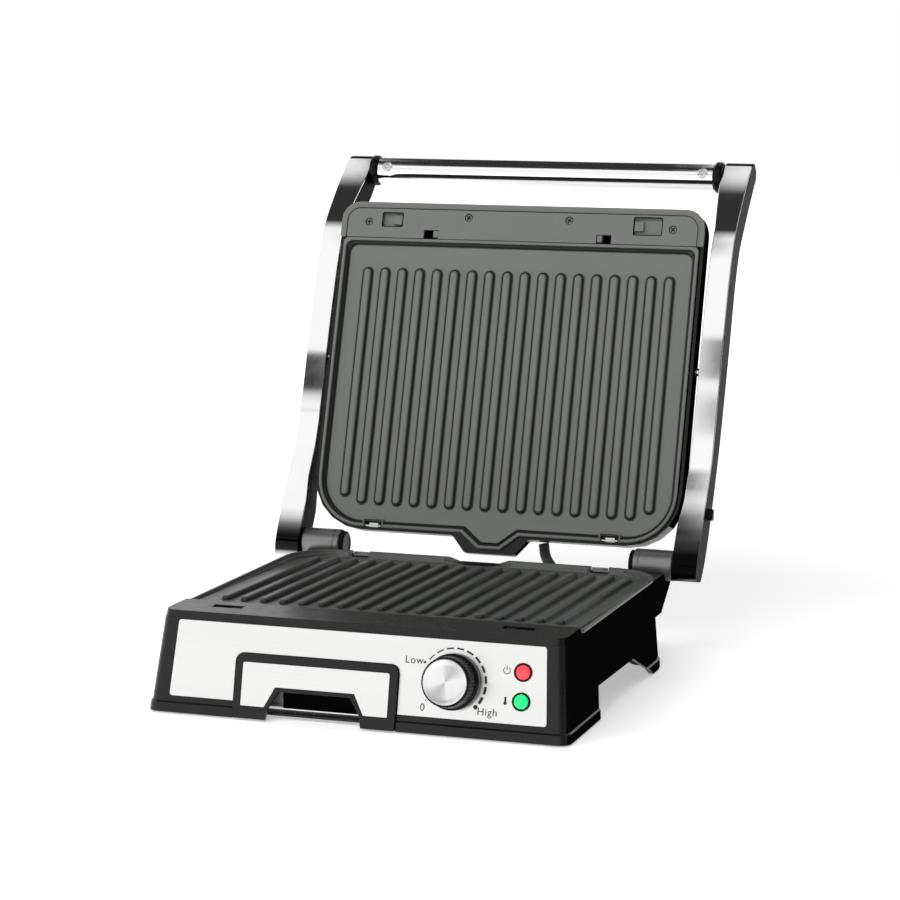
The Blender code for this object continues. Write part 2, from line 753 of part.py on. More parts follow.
PAN_FRONT_Y = front_y(PAN_Z[1]) + PAN_SET_BACK
for side, sign in SIDES.items():
    low, high = sorted((
        TRAY_X + sign * (PAN_HALF - 0.0005),
        TRAY_X + sign * (PAN_HALF - 0.0065),
    ))
    strut = box(
        "tray_strut_" + side,
        (low, front_y(PAN_Z[1]), PAN_Z[0] + 0.0010),
        (high, PAN_FRONT_Y - GAP, PAN_Z[1] - 0.0010),
    )
    fuse(tray_front, strut)
tray_pan = box(
    "tray_pan",
    (TRAY_X - PAN_HALF, PAN_FRONT_Y, PAN_Z[0]),
    (TRAY_X + PAN_HALF, PAN_FRONT_Y + PAN_LENGTH, PAN_Z[1]),
    ALUMINIUM,
    None,
    0.0014,
)
cut(tray_pan, box(
    "pan_hollow",
    (TRAY_X - PAN_HALF + PAN_WALL, PAN_FRONT_Y + PAN_WALL, PAN_Z[0] + PAN_WALL),
    (TRAY_X + PAN_HALF - PAN_WALL, PAN_FRONT_Y + PAN_LENGTH - PAN_WALL, FAR),
))

guide_half = PAN_HALF + RUNNING + GUIDE_T
guide_y = (front_y(0) + WALL + 0.0070, PAN_FRONT_Y + PAN_LENGTH + RUNNING + GUIDE_T)
guide_floor_z = PAN_Z[0] - RUNNING - GUIDE_T
tray_guide = box(
    "tray_guide",
    (TRAY_X - guide_half, guide_y[0], guide_floor_z),
    (TRAY_X + guide_half, guide_y[1], ARCH_Z - GAP),
    BLACK,
)
cut(tray_guide, box(
    "guide_channel",
    (TRAY_X - guide_half + GUIDE_T, guide_y[0] - 0.05, guide_floor_z + GUIDE_T),
    (TRAY_X + guide_half - GUIDE_T, guide_y[1] - GUIDE_T, FAR),
))
cut(tray_guide, box(
    "guide_floor_window",
    (TRAY_X - guide_half + 0.012, guide_y[0] + 0.012, -0.01),
    (TRAY_X + guide_half - 0.012, guide_y[1] - 0.012, PAN_Z[0] - RUNNING / 2),
))

cover_outline = base_outline(ARCH_Z + COVER_T, -WALL - GAP)
base_bottom_cover = prism("base_bottom_cover", cover_outline, ARCH_Z, ARCH_Z + COVER_T, BLACK)
for number in range(VENT_COUNT):
    x = (number - (VENT_COUNT - 1) / 2) * 0.014
    slot = box(
        f"vent_{number}",
        (x - 0.0020, PAN_FRONT_Y + PAN_LENGTH + 0.010, 0),
        (x + 0.0020, PAN_FRONT_Y + PAN_LENGTH + 0.050, 0.05),
    )
    cut(base_bottom_cover, slot)
cut(base_bottom_cover, box(
    "control_notch",
    (KNOB_X - 0.0200, FRONT_FOOT_Y - 0.05, 0),
    (LAMP_X + 0.0120, FRONT_FOOT_Y + 0.0450, 0.05),
))
fat_y = PLATE_REAR_Y - drain_v
fat_hole = box(
    "fat_hole",
    (TRAY_X - 0.0090, fat_y - 0.0040, 0),
    (TRAY_X + 0.0090, fat_y + 0.0040, 0.06),
)
cut(base_bottom_cover, fat_hole)

# ---------------------------------------------------------------- knob and thermostat
knob_low_n = 0.0008
knob_body = rod(
    "knob_body",
    (KNOB_X, KNOB_S, knob_low_n + 0.0030),
    0.0060,
    KNOB_R,
    BLACK,
    KNOB_AXIS,
    "z",
    KNOB_R - 0.0010,
    48,
)
knob_grip = rod(
    "knob_grip",
    (KNOB_X, KNOB_S, (knob_low_n + 0.0050 + KNOB_H) / 2),
    KNOB_H - knob_low_n - 0.0050,
    KNOB_R - 0.0016,
    None,
    KNOB_AXIS,
    "z",
    KNOB_CAP_R + 0.0012,
    48,
)
fuse(knob_body, knob_grip)
cap_seat = rod("cap_seat", (KNOB_X, KNOB_S, KNOB_H), 0.0020, KNOB_CAP_R + GAP, None, KNOB_AXIS, "z", None, 48)
cut(knob_body, cap_seat)
cut(knob_body, rod("shaft_socket", (KNOB_X, KNOB_S, 0.005), 0.0200, SHAFT_R + GAP, None, KNOB_AXIS, "z"))
rod(
    "knob_cap",
    (KNOB_X, KNOB_S, KNOB_H - 0.0010 + GAP + 0.0007),
    0.0014,
    KNOB_CAP_R,
    ALUMINIUM,
    KNOB_AXIS,
    "z",
    KNOB_CAP_R - 0.0003,
    48,
)
SHAFT_N = (-0.0150, 0.0145)
rod(
    "knob_shaft",
    (KNOB_X, KNOB_S, sum(SHAFT_N) / 2),
    SHAFT_N[1] - SHAFT_N[0],
    SHAFT_R,
    STEEL,
    KNOB_AXIS,
    "z",
)
thermostat = box(
    "thermostat_body",
    (KNOB_X - 0.0150, KNOB_S - 0.0080, -0.0280),
    (KNOB_X + 0.0150, KNOB_S + 0.0140, -0.0060),
    ALUMINIUM,
    FRONT,
    0.0010,
)
cut(thermostat, rod("shaft_bore", (KNOB_X, KNOB_S, -0.0050), 0.0240, SHAFT_R + RUNNING, None, FRONT, "z"))

# ---------------------------------------------------------------- heaters and reflectors
REFLECTOR_T = 0.0008
ELEMENT_R = 0.0032


def element_route(first_v, last_v, height):
    """Heater rod: two long hairpins side by side, ends turned away from the plate."""
    route = []
    half = PLATE_HALF - 0.035
    lanes = (half, half / 3, -half / 3, -half)
    route.append((lanes[0], first_v, height - 0.0120))
    for number, x in enumerate(lanes):
        start, end = (first_v, last_v) if number % 2 == 0 else (last_v, first_v)
        step = 0.012 if start < end else -0.012
        inward = 0.012
        left = x + inward if number > 0 else x
        right = x - inward if number < 3 else x
        if number > 0:
            route.append((left, start, height))
            route.append((x + 0.0035, start + step * 0.3, height))
        route.append((x, start + step, height))
        route.append((x, end - step, height))
        if number < 3:
            route.append((x - 0.0035, end - step * 0.3, height))
            route.append((right, end, height))
    route.append((lanes[3], first_v, height - 0.0120))
    return route


low_rim = DECK_UNDER_Z - GAP
low_floor = PLATE_RIM_Z - PLATE_T - 0.0100
PAN_INSET = FLANGE_W - GAP - REFLECTOR_T
outer_line = [(-p.x, PLATE_REAR_Y - p.y) for p in plate_outline(LOWER_DEPTH, PAN_INSET)]
hollow_line = [(-p.x, PLATE_REAR_Y - p.y) for p in plate_outline(LOWER_DEPTH, PAN_INSET + REFLECTOR_T)]
lower_reflector = prism("lower_reflector", outer_line, low_floor, low_rim, ALUMINIUM)
cut(lower_reflector, prism("lower_reflector_hollow", hollow_line, low_floor + REFLECTOR_T, FAR))
lower_z = low_floor + REFLECTOR_T + ELEMENT_R + 0.0012
lower_lane = [
    (-x, PLATE_REAR_Y - v, h)
    for x, v, h in element_route(0.030, LOWER_DEPTH - 0.030, lower_z)
]
tube_curve("lower_heating_element", lower_lane, ELEMENT_R, HEATER)
for sign in (-1, 1):
    x, y = sign * (PLATE_HALF - 0.035), PLATE_REAR_Y - 0.030
    hole = box(
        f"lower_terminal_hole_{'left' if sign < 0 else 'right'}",
        (x - 0.0055, y - 0.0120, low_floor - 0.02),
        (x + 0.0055, y + 0.0055, low_floor + 0.002),
    )
    cut(lower_reflector, hole)
cut(lower_reflector, box(
    "fat_slot",
    (TRAY_X - 0.0090, fat_y - 0.0040, low_floor - 0.01),
    (TRAY_X + 0.0090, fat_y + 0.0040, low_floor + 0.002),
))

# ---------------------------------------------------------------- hinge, gland, clips
for side, sign in SIDES.items():
    mid = sign * (BARREL_X[0] + BARREL_X[1]) / 2
    long = BARREL_X[1] - BARREL_X[0]
    at_hinge = (mid, HINGE_Y, HINGE_Z)
    barrel = rod("hinge_barrel_" + side, at_hinge, long, BARREL_R, DARK_METAL, sides=32)
    bore = rod("barrel_bore_" + side, at_hinge, long + 0.01, PIN_R + GAP)
    cut(barrel, bore)
    rod(
        "barrel_cap_" + side,
        (sign * (BARREL_X[0] - GAP - BARREL_CAP_T / 2), HINGE_Y, HINGE_Z),
        BARREL_CAP_T,
        BARREL_R - 0.0012,
        BLACK,
        sides=32,
    )
    pin_end = ARM_OUT - 0.0040
    rod(
        "hinge_pin_" + side,
        (sign * (BARREL_X[0] + pin_end) / 2, HINGE_Y, HINGE_Z),
        pin_end - BARREL_X[0],
        PIN_R,
        STEEL,
    )

GLAND_X = 0.0850
GLAND_Z = 0.0440
gland_wall_y = BASE_REAR_Y + GAP
cord_gland = rod("cord_gland", (GLAND_X, gland_wall_y + 0.0015, GLAND_Z), 0.0030, 0.0085, BLACK, None, "y")
sleeve_at = (GLAND_X, gland_wall_y + 0.0070, GLAND_Z)
sleeve = rod("gland_sleeve", sleeve_at, 0.0120, 0.0062, None, None, "y", 0.0048)
fuse(cord_gland, sleeve)
cut(cord_gland, rod("gland_bore", (GLAND_X, gland_wall_y + 0.005, GLAND_Z), 0.03, 0.0034, None, None, "y"))

JUMPER_X = 0.0380
JUMPER_R = 0.0042
JUMPER_Z = 0.0420
JUMPER_LID_B = -0.0240
lead_exit = Matrix.Translation((0, HINGE_Y, HINGE_Z)) @ Matrix.Rotation(LID_TURN, 4, "X")
lid_edge_a = LID_RIM_A - LID_LAP
lead_top = lead_exit @ Vector((JUMPER_X, lid_edge_a - GAP, JUMPER_LID_B))
lead_next = lead_exit @ Vector((JUMPER_X + 0.0005, lid_edge_a - 0.0120, JUMPER_LID_B))
lead_points = [
    lead_top,
    lead_next,
    (JUMPER_X + 0.0030, BASE_REAR_Y + 0.0260, 0.0520),
    (JUMPER_X + 0.0040, BASE_REAR_Y + 0.0150, JUMPER_Z + 0.0010),
    (JUMPER_X + 0.0040, BASE_REAR_Y + GAP, JUMPER_Z),
]
tube_curve("jumper_lead", smooth_route(lead_points, 5), JUMPER_R, LEAD)

def clip(name, frame, sign, rim_v, rim_w):
    """Spring clip: an upright steel tongue in the notch of the plate's hinge-side rim."""
    box(
        name,
        (sign * CLIP_X - CLIP_W / 2, rim_v + CLIP_BACK, rim_w - PLATE_T - CLIP_BELOW),
        (sign * CLIP_X + CLIP_W / 2, rim_v + CLIP_BACK + CLIP_T, rim_w - 0.0006),
        STEEL,
        frame,
    )


for side, sign in SIDES.items():
    clip("lower_clip_" + side, LOWER, sign, 0, 0)
    clip("upper_clip_" + side, LID, sign, LID_RIM_A, LID_FACE_B)
    slot_y = PLATE_REAR_Y - CLIP_BACK
    slot = box(
        "clip_slot_" + side,
        (sign * CLIP_X - CLIP_W / 2 - GAP, slot_y - CLIP_T - GAP, PLATE_RIM_Z - PLATE_T - CLIP_BELOW - GAP),
        (sign * CLIP_X + CLIP_W / 2 + GAP, slot_y + GAP, FAR),
    )
    cut(base_shell, slot)


# ---------------------------------------------------------------- lid
def lid_outline(inset=0.0, spout=True):
    """Housing outline: wide corners and the spout on the hinge side, tight ones on top."""
    side = LID_HALF - inset
    low = LID_RIM_A - LID_LAP + inset
    top = LID_TOP_A - inset
    lip = SPOUT_REACH + 0.0015
    corners = [
        (-side, low, LID_REAR_R - inset * 0.8),
        (-SPOUT_HALF - 0.0075, low, 0.004),
        (-SPOUT_TIP_HALF - 0.0110, low - lip, 0.003),
        (SPOUT_TIP_HALF + 0.0110, low - lip, 0.003),
        (SPOUT_HALF + 0.0075, low, 0.004),
        (side, low, LID_REAR_R - inset * 0.8),
        (side, top, max(LID_TOP_R - inset * 0.5, 0.004)),
        (-side, top, max(LID_TOP_R - inset * 0.5, 0.004)),
    ]
    if not spout:
        corners = [corners[0], *corners[5:]]
    return rounded(corners, 5)


housing_levels = (
    (LID_SEAT_B, 0.0),
    (LID_FACE_B - 0.0150, 0.0),
    (LID_FACE_B - 0.0260, 0.0015),
    (LID_FACE_B - 0.0330, 0.0050),
    (LID_BACK_B, 0.0130),
)
lid_housing = loft(
    "lid_housing",
    [at_height(lid_outline(inset, False), b) for b, inset in housing_levels],
    BLACK,
    LID,
)
spout_lip = prism("spout_lip", lid_outline(0.0), LID_SEAT_B - 0.0080, LID_SEAT_B, None, LID)
fuse(lid_housing, spout_lip)
housing_hollow = loft(
    "housing_hollow",
    [
        at_height(lid_outline(inset, False), b)
        for b, inset in ((0.05, LID_WALL), (LID_FACE_B - 0.0240, LID_WALL),
                         (LID_BACK_B + LID_WALL + 0.0020, LID_WALL + 0.0110))
    ],
    None,
    LID,
)
cut(lid_housing, housing_hollow)
for side, sign in SIDES.items():
    hole_at = (sign * LID_HALF, FLOAT_A, FLOAT_B)
    hole = rod("float_hole_" + side, hole_at, 0.02, FLOAT_PIN_R + RUNNING, None, LID)
    cut(lid_housing, hole)
    reach = (LID_HALF - LID_WALL - 0.0030, ARM_IN + 0.0080)
    rod(
        "float_pin_" + side,
        (sign * sum(reach) / 2, FLOAT_A, FLOAT_B),
        reach[1] - reach[0],
        FLOAT_PIN_R,
        STEEL,
        HINGE,
    )

cover_line = lid_outline(COVER_IN, False)
cover_inner = lid_outline(COVER_IN + 0.0060, False)
cover_b = LID_BACK_B - GAP
lid_cover = loft(
    "lid_cover",
    [
        at_height(cover_line, cover_b),
        at_height(cover_line, cover_b - 0.0008),
        at_height(cover_inner, cover_b - 0.0026),
    ],
    STEEL,
    LID,
)
hollow_line = lid_outline(COVER_IN + COVER_SHEET, False)
cut(lid_cover, loft(
    "cover_hollow",
    [
        at_height(hollow_line, cover_b + 0.0010),
        at_height(hollow_line, cover_b - 0.0008 + COVER_SHEET),
        at_height(cover_inner, cover_b - 0.0026 + COVER_SHEET),
    ],
    None,
    LID,
))

STRIP_HALF = LID_HALF
strip_outline = rounded([
    (-STRIP_HALF, STRIP_A, 0.0010),
    (STRIP_HALF, STRIP_A, 0.0010),
    (STRIP_HALF, LID_TOP_A, LID_TOP_R),
    (-STRIP_HALF, LID_TOP_A, LID_TOP_R),
], 5)
STRIP_BACK_B = LID_FACE_B - FLANGE_T
lid_strip = prism("lid_strip", strip_outline, STRIP_BACK_B, LID_FACE_B, COATING, LID)
STRIP_MID_A = STRIP_A + 0.0150
WINDOWS = {"left": (-LATCH_X, 0.0172, 0.0112), "right": (LATCH_X - 0.0020, 0.0230, 0.0140)}
for side, (x, wide, tall) in WINDOWS.items():
    window = box(
        "window_" + side,
        (x - wide / 2, STRIP_MID_A - tall / 2, -0.02),
        (x + wide / 2, STRIP_MID_A + tall / 2, 0.02),
        None,
        LID,
    )
    cut(lid_strip, window)
TONGUE_X = {"left": 0.0342 - LATCH_X, "right": LATCH_X - 0.0376}
MOUTH_DEEP = 0.0072
for side, x in TONGUE_X.items():
    mouth = box(
        "tongue_mouth_" + side,
        (x - 0.0062, STRIP_A - 0.01, -0.02),
        (x + 0.0062, STRIP_A + MOUTH_DEEP, 0.02),
        None,
        LID,
    )
    cut(lid_strip, mouth)
STRIP_SCREWS = (
    (0.0239 - LID_HALF, -0.0020),
    (-0.0437, 0.0032),
    (0.0415, 0.0032),
    (LID_HALF - 0.0256, -0.0020),
)
for number, (x, up) in enumerate(STRIP_SCREWS, 1):
    where = (x, STRIP_MID_A + up, 0)
    cut(lid_strip, rod(f"screw_hole_{number}", where, 0.03, 0.0031 + GAP, None, LID, "z"))
    rod(
        f"strip_screw_{number}",
        (x, STRIP_MID_A + up, LID_FACE_B - 0.0040),
        0.0070,
        0.0031,
        STEEL,
        LID,
        "z",
    )


BUTTON_HALF = 0.0036
TONGUE = (0.0016, 0.0058)       # from the mouth's middle, on the side it slides away from


def latch(name, frame, button_x, tongue_x, sign, face_w):
    """Plate release: a button in its window, a bar behind the strip and a tongue at the joint."""
    bar_w = (face_w - FLANGE_T - GAP - 0.0020, face_w - FLANGE_T - GAP)
    tongue_low, tongue_high = sorted(tongue_x - sign * reach for reach in TONGUE)
    low = min(button_x - BUTTON_HALF, tongue_low)
    high = max(button_x + BUTTON_HALF, tongue_high)
    foot_a = STRIP_A + 0.0012
    slider = box(
        name,
        (low, STRIP_MID_A - 0.0040, bar_w[0]),
        (high, STRIP_MID_A + 0.0020, bar_w[1]),
        BLACK,
        frame,
    )
    button = box(
        name + "_button",
        (button_x - BUTTON_HALF, STRIP_MID_A - 0.0038, bar_w[0] + 0.0005),
        (button_x + BUTTON_HALF, STRIP_MID_A + 0.0038, face_w - 0.0006),
        None,
        frame,
    )
    link = box(
        name + "_link",
        (tongue_low, foot_a, bar_w[0] + 0.0002),
        (tongue_high, STRIP_MID_A, bar_w[1] - 0.0002),
        None,
        frame,
    )
    tongue = box(
        name + "_tongue",
        (tongue_low + 0.0002, foot_a + 0.0002, bar_w[0] + 0.0005),
        (tongue_high - 0.0002, STRIP_A + MOUTH_DEEP - RUNNING, face_w - 0.0008),
        None,
        frame,
    )
    fuse(slider, button, link, tongue)
    return slider


for side, sign in SIDES.items():
    window_x, window_wide, _ = WINDOWS[side]
    button_x = window_x - sign * (window_wide / 2 - BUTTON_HALF - RUNNING)
    latch("latch_upper_" + side, LID, button_x, TONGUE_X[side], sign, LID_FACE_B)

# windows for the lower latches are cut in the raised border
LOWER_LATCH_Y = PLATE_FRONT_Y - 0.0170
for side, sign in SIDES.items():
    x = sign * LATCH_X
    window = box(
        "border_window_" + side,
        (x - 0.0115, LOWER_LATCH_Y - 0.0045, DECK_Z - 0.02),
        (x + 0.0115, LOWER_LATCH_Y + 0.0045, DECK_Z + 0.02),
    )
    cut(base_shell, window)
    button_x = x - sign * 0.0065
    under_z = DECK_UNDER_Z - GAP - 0.0006
    slider = box(
        "latch_lower_" + side,
        (button_x - 0.0160, LOWER_LATCH_Y - 0.0060, under_z - 0.0016),
        (button_x + 0.0160, LOWER_LATCH_Y + 0.0060, under_z),
        BLACK,
    )
    button = box(
        "latch_lower_button_" + side,
        (button_x - 0.0040, LOWER_LATCH_Y - 0.0038, under_z - 0.0010),
        (button_x + 0.0040, LOWER_LATCH_Y + 0.0038, DECK_Z - 0.0010),
    )
    fuse(slider, button)

# upper reflector and heater
up_floor = LID_FACE_B - PLATE_T - 0.0100
up_rim = LID_SEAT_B - 0.0030
upper_outer = [(p.x, p.y + LID_RIM_A) for p in plate_outline(UPPER_DEPTH, PAN_INSET)]
upper_hollow = [(p.x, p.y + LID_RIM_A) for p in plate_outline(UPPER_DEPTH, PAN_INSET + REFLECTOR_T)]
upper_reflector = prism("upper_reflector", upper_outer, up_floor, up_rim, ALUMINIUM, LID)
cut(upper_reflector, prism("upper_reflector_hollow", upper_hollow, up_floor + REFLECTOR_T, 0.05, None, LID))
upper_z = up_floor + REFLECTOR_T + ELEMENT_R + 0.0012
upper_lane = [
    (x, LID_RIM_A + v, h) for x, v, h in element_route(0.030, UPPER_DEPTH - 0.030, upper_z)
]
tube_curve("upper_heating_element", upper_lane, ELEMENT_R, HEATER, LID)
for sign in (-1, 1):
    x, a = sign * (PLATE_HALF - 0.035), LID_RIM_A + 0.030
    hole = box(
        f"upper_terminal_hole_{'left' if sign < 0 else 'right'}",
        (x - 0.0055, a - 0.0055, up_floor - 0.02),
        (x + 0.0055, a + 0.0120, up_floor + 0.002),
        None,
        LID,
    )
    cut(upper_reflector, hole)

# ---------------------------------------------------------------- arms and handle
# side view of an arm: front edge and back edge, a up the lid and b towards the food
ARM_DRAWN_FOR = 0.2854          # the lid's top, for which these edges are drawn
ARM_STRAIGHT_A = 0.1500
ARM_FRONT = (
    (-0.0130, 0.0140), (0.0000, 0.0155), (0.0200, 0.0115), (0.0400, 0.0055), (0.0600, 0.0005),
    (0.0800, -0.0050), (0.1000, -0.0080), (0.1300, -0.0086), (0.2000, -0.0082), (0.2300, -0.0102),
    (0.2550, -0.0140), (0.2750, -0.0205), (0.2950, -0.0310), (0.3150, -0.0430), (0.3370, -0.0585),
)
ARM_BACK = (
    (-0.0110, -0.0030), (0.0000, -0.0090), (0.0160, -0.0145), (0.0360, -0.0190), (0.0550, -0.0225),
    (0.0780, -0.0262), (0.1000, -0.0290), (0.1300, -0.0312), (0.1950, -0.0345), (0.2230, -0.0350),
    (0.2460, -0.0372), (0.2640, -0.0415), (0.2830, -0.0510), (0.3030, -0.0620), (0.3260, -0.0755),
)


def arm_width(a):
    """Width across X, swelling at the hinge and at the handle."""
    if a < 0.030:
        return ARM_WIDE_FOOT
    if a < 0.050:
        return ARM_WIDE_FOOT + (ARM_WIDE - ARM_WIDE_FOOT) * (a - 0.030) / 0.020
    swell_a = HANDLE_A - 0.0570
    if a > swell_a:
        return ARM_WIDE + (ARM_WIDE_END - ARM_WIDE) * min((a - swell_a) / 0.040, 1.0)
    return ARM_WIDE


def arm_ring(front, back, sign, skin=None):
    """Section of an arm at one station: the core behind the trim, or the trim itself."""
    front, back = Vector(front), Vector(back)
    deep = (back - front).length
    step = (back - front) / deep
    wide = arm_width((front.x + back.x) / 2)
    near, far = (TRIM_T + GAP, deep) if skin is None else (0.0, TRIM_T)
    edge = 0.0030 if skin is None else 0.0005
    inner, outer = ARM_OUT - wide, ARM_OUT
    corners = [
        (inner, near), (outer, near), (outer, far - edge), (outer - edge, far),
        (inner + edge, far), (inner, far - edge),
    ]
    ring = []
    for x, t in corners:
        p = front + step * t
        ring.append((sign * x, p.x, p.y))
    return ring


def arm_edge(profile):
    """Edge of an arm as a smooth curve; a longer lid only makes its straight run longer."""
    longer = LID_TOP_A - ARM_DRAWN_FOR
    moved = [(a + (longer if a > ARM_STRAIGHT_A else 0), b, 0) for a, b in profile]
    return smooth_route(moved, 2)


def arm_stations():
    fine_front = arm_edge(ARM_FRONT)
    fine_back = arm_edge(ARM_BACK)
    return [((f[0], f[1]), (k[0], k[1])) for f, k in zip(fine_front, fine_back)]


for side, sign in SIDES.items():
    stations = arm_stations()
    core = loft("arm_" + side, [arm_ring(f, k, sign) for f, k in stations], BLACK, HINGE)
    loft("arm_trim_" + side, [arm_ring(f, k, sign, True) for f, k in stations], CHROME, HINGE)
    pin_from = LID_HALF + 0.0068
    pin_long = 2 * (ARM_OUT - 0.0036 - pin_from)
    cut(core, rod("pin_bore_" + side, (sign * pin_from, 0, 0), pin_long, PIN_R + GAP, None, HINGE))
    float_end = (sign * ARM_IN, FLOAT_A, FLOAT_B)
    cut(core, rod("float_bore_" + side, float_end, 0.0170, FLOAT_PIN_R + GAP, None, HINGE))
    collar_in = ARM_OUT - ARM_WIDE_END - GAP
    rod(
        "handle_collar_" + side,
        (sign * (collar_in - COLLAR_L / 2), HANDLE_A, HANDLE_B),
        COLLAR_L,
        COLLAR_R,
        BLACK,
        HINGE,
    )

TUBE_HALF = ARM_OUT - ARM_WIDE_END - COLLAR_L - 2 * GAP
TUBE_MIDDLE = (0, HANDLE_A, HANDLE_B)
tube = rod("handle_tube", TUBE_MIDDLE, 2 * TUBE_HALF, HANDLE_R, CHROME, HINGE, sides=32)
cut(tube, rod("tube_bore", TUBE_MIDDLE, 2 * FAR, HANDLE_R - TUBE_WALL, None, HINGE, sides=32))

# dome-headed screws sit on the tube, facing up and forward
SCREW_TURN = math.radians(6.5)
for side, sign in SIDES.items():
    bm = bmesh.new()
    bmesh.ops.create_cone(
        bm, cap_ends=True, segments=16, radius1=HANDLE_SCREW_R, radius2=HANDLE_SCREW_R * 0.55, depth=0.0018
    )
    lift = HANDLE_R + GAP + 0.0009
    turn = Matrix.Rotation(-SCREW_TURN, 4, "X")
    seat = Matrix.Translation((sign * (TUBE_HALF - 0.0090), HANDLE_A, HANDLE_B))
    bmesh.ops.transform(bm, matrix=seat @ turn @ Matrix.Translation((0, 0, lift)), verts=bm.verts)
    add("handle_screw_" + side, bm, STEEL, HINGE)

# hinge release button in the right arm's outer face
pocket_low = (ARM_OUT - 0.0058, BUTTON_A - BUTTON_LONG / 2 - RUNNING, BUTTON_B - BUTTON_DEEP / 2 - RUNNING)
pocket_high = (ARM_OUT + 0.01, BUTTON_A + BUTTON_LONG / 2 + RUNNING, BUTTON_B + BUTTON_DEEP / 2 + RUNNING)
cut(core, box("button_pocket", pocket_low, pocket_high, None, HINGE))
box(
    "hinge_lock_button",
    (ARM_OUT - 0.0020, BUTTON_A - BUTTON_LONG / 2, BUTTON_B - BUTTON_DEEP / 2),
    (ARM_OUT + BUTTON_OUT, BUTTON_A + BUTTON_LONG / 2, BUTTON_B + BUTTON_DEEP / 2),
    BLACK,
    HINGE,
    0.0008,
)

for part in PARTS.objects:
    if part.type == "MESH":
        part.data.shade_smooth()
        part.data.set_sharp_from_angle(angle=math.radians(32))
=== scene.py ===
"""The look of a panini press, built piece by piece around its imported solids."""

import json
import math

import bmesh
import bpy
import numpy as np
from mathutils import Matrix, Vector

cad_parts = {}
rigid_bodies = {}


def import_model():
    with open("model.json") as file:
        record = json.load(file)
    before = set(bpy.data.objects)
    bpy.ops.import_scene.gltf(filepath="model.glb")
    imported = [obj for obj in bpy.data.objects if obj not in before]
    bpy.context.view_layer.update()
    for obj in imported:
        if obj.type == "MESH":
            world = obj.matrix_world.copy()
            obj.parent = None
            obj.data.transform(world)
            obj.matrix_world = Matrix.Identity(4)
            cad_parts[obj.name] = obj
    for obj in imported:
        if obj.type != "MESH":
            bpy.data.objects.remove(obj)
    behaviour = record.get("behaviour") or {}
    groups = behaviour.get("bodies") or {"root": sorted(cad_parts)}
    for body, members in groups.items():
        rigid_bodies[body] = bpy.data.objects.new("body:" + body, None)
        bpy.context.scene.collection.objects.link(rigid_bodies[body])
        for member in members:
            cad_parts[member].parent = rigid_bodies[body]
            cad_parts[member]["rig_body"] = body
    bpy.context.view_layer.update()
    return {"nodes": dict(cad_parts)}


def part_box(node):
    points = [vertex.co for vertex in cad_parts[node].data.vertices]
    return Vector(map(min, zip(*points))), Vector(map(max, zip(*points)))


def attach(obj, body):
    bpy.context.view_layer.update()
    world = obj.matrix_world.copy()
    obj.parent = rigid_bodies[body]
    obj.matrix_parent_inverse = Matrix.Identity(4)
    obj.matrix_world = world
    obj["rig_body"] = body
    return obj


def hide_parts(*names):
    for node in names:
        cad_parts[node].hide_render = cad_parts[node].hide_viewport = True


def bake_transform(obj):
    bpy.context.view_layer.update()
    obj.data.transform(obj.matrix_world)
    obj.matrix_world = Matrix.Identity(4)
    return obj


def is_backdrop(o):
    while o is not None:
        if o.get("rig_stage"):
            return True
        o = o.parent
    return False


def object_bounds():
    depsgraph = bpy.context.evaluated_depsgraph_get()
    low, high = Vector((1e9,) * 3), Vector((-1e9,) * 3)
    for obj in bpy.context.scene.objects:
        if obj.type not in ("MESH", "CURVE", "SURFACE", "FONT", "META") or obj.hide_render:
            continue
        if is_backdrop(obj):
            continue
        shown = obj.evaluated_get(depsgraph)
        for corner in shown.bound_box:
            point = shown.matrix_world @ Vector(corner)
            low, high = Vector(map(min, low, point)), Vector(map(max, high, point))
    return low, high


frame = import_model()

# ------------------------------------------------------------------ studio
# A pale round floor and a soft studio: bright walls with a dark slit between
# them, a dim ceiling and a black flag on the right. The camera stands in
# front, a little to the right and above the press.
CAMERA_PLACE = (0.64811, -1.98610, 0.46794)
CAMERA_YAW = math.radians(-18.22)
CAMERA_PITCH = math.radians(-8.25)
CAMERA_ROLL = math.radians(0.40)
CAMERA_LENS = 110.41            # millimetres on a 36 mm sensor
FLOOR_RADIUS = 9.0
FLOOR_RINGS = 10
FLOOR_SPOKES = 96
WALL_TILT = 0.080               # turn that the wall lights gain towards the side, and their own turn
WALL_TURN = 0.0233
FLAG_FROM, FLAG_TO = 0.30, 0.55
ARM_BANDS = (                   # degrees over from the front horizon to the rear one, brightness
    (0, 1.0), (22.5, 1.0), (24.0, 0.02), (28.9, 0.02), (30.6, 1.0), (62.0, 1.0), (72.0, 0.03),
    (94.0, 0.03), (104.0, 1.0), (180, 1.0),
)
TUBE_BANDS = (
    (0, 1.0), (23.5, 1.0), (25.0, 0.6), (26.5, 1.0), (48.0, 1.0), (56.0, 0.03), (150.0, 0.03),
    (172.0, 1.0), (180, 1.0),
)
TUBE_FROM = (-0.3420, -0.3380)    # share of the view to the side where the tube's ceiling starts
TUBE_TO = (-0.2235, -0.2195)


def node(tree, kind, inputs=(), **settings):
    """Add a shader node, set its settings, then its inputs by name or number."""
    made = tree.nodes.new(kind)
    for key, value in settings.items():
        setattr(made, key, value)
    for key, value in dict(inputs).items():
        made.inputs[key].default_value = value
    return made


def new_material(name):
    """An empty material with its Principled shader."""
    made = bpy.data.materials.new(name)
    made.use_nodes = True
    return made, made.node_tree, made.node_tree.nodes["Principled BSDF"]


def tones(tree, first, second):
    """A mix that runs from one colour to another."""
    made = node(tree, "ShaderNodeMix", data_type="RGBA")
    made.inputs[6].default_value = (*first, 1)
    made.inputs[7].default_value = (*second, 1)
    return made


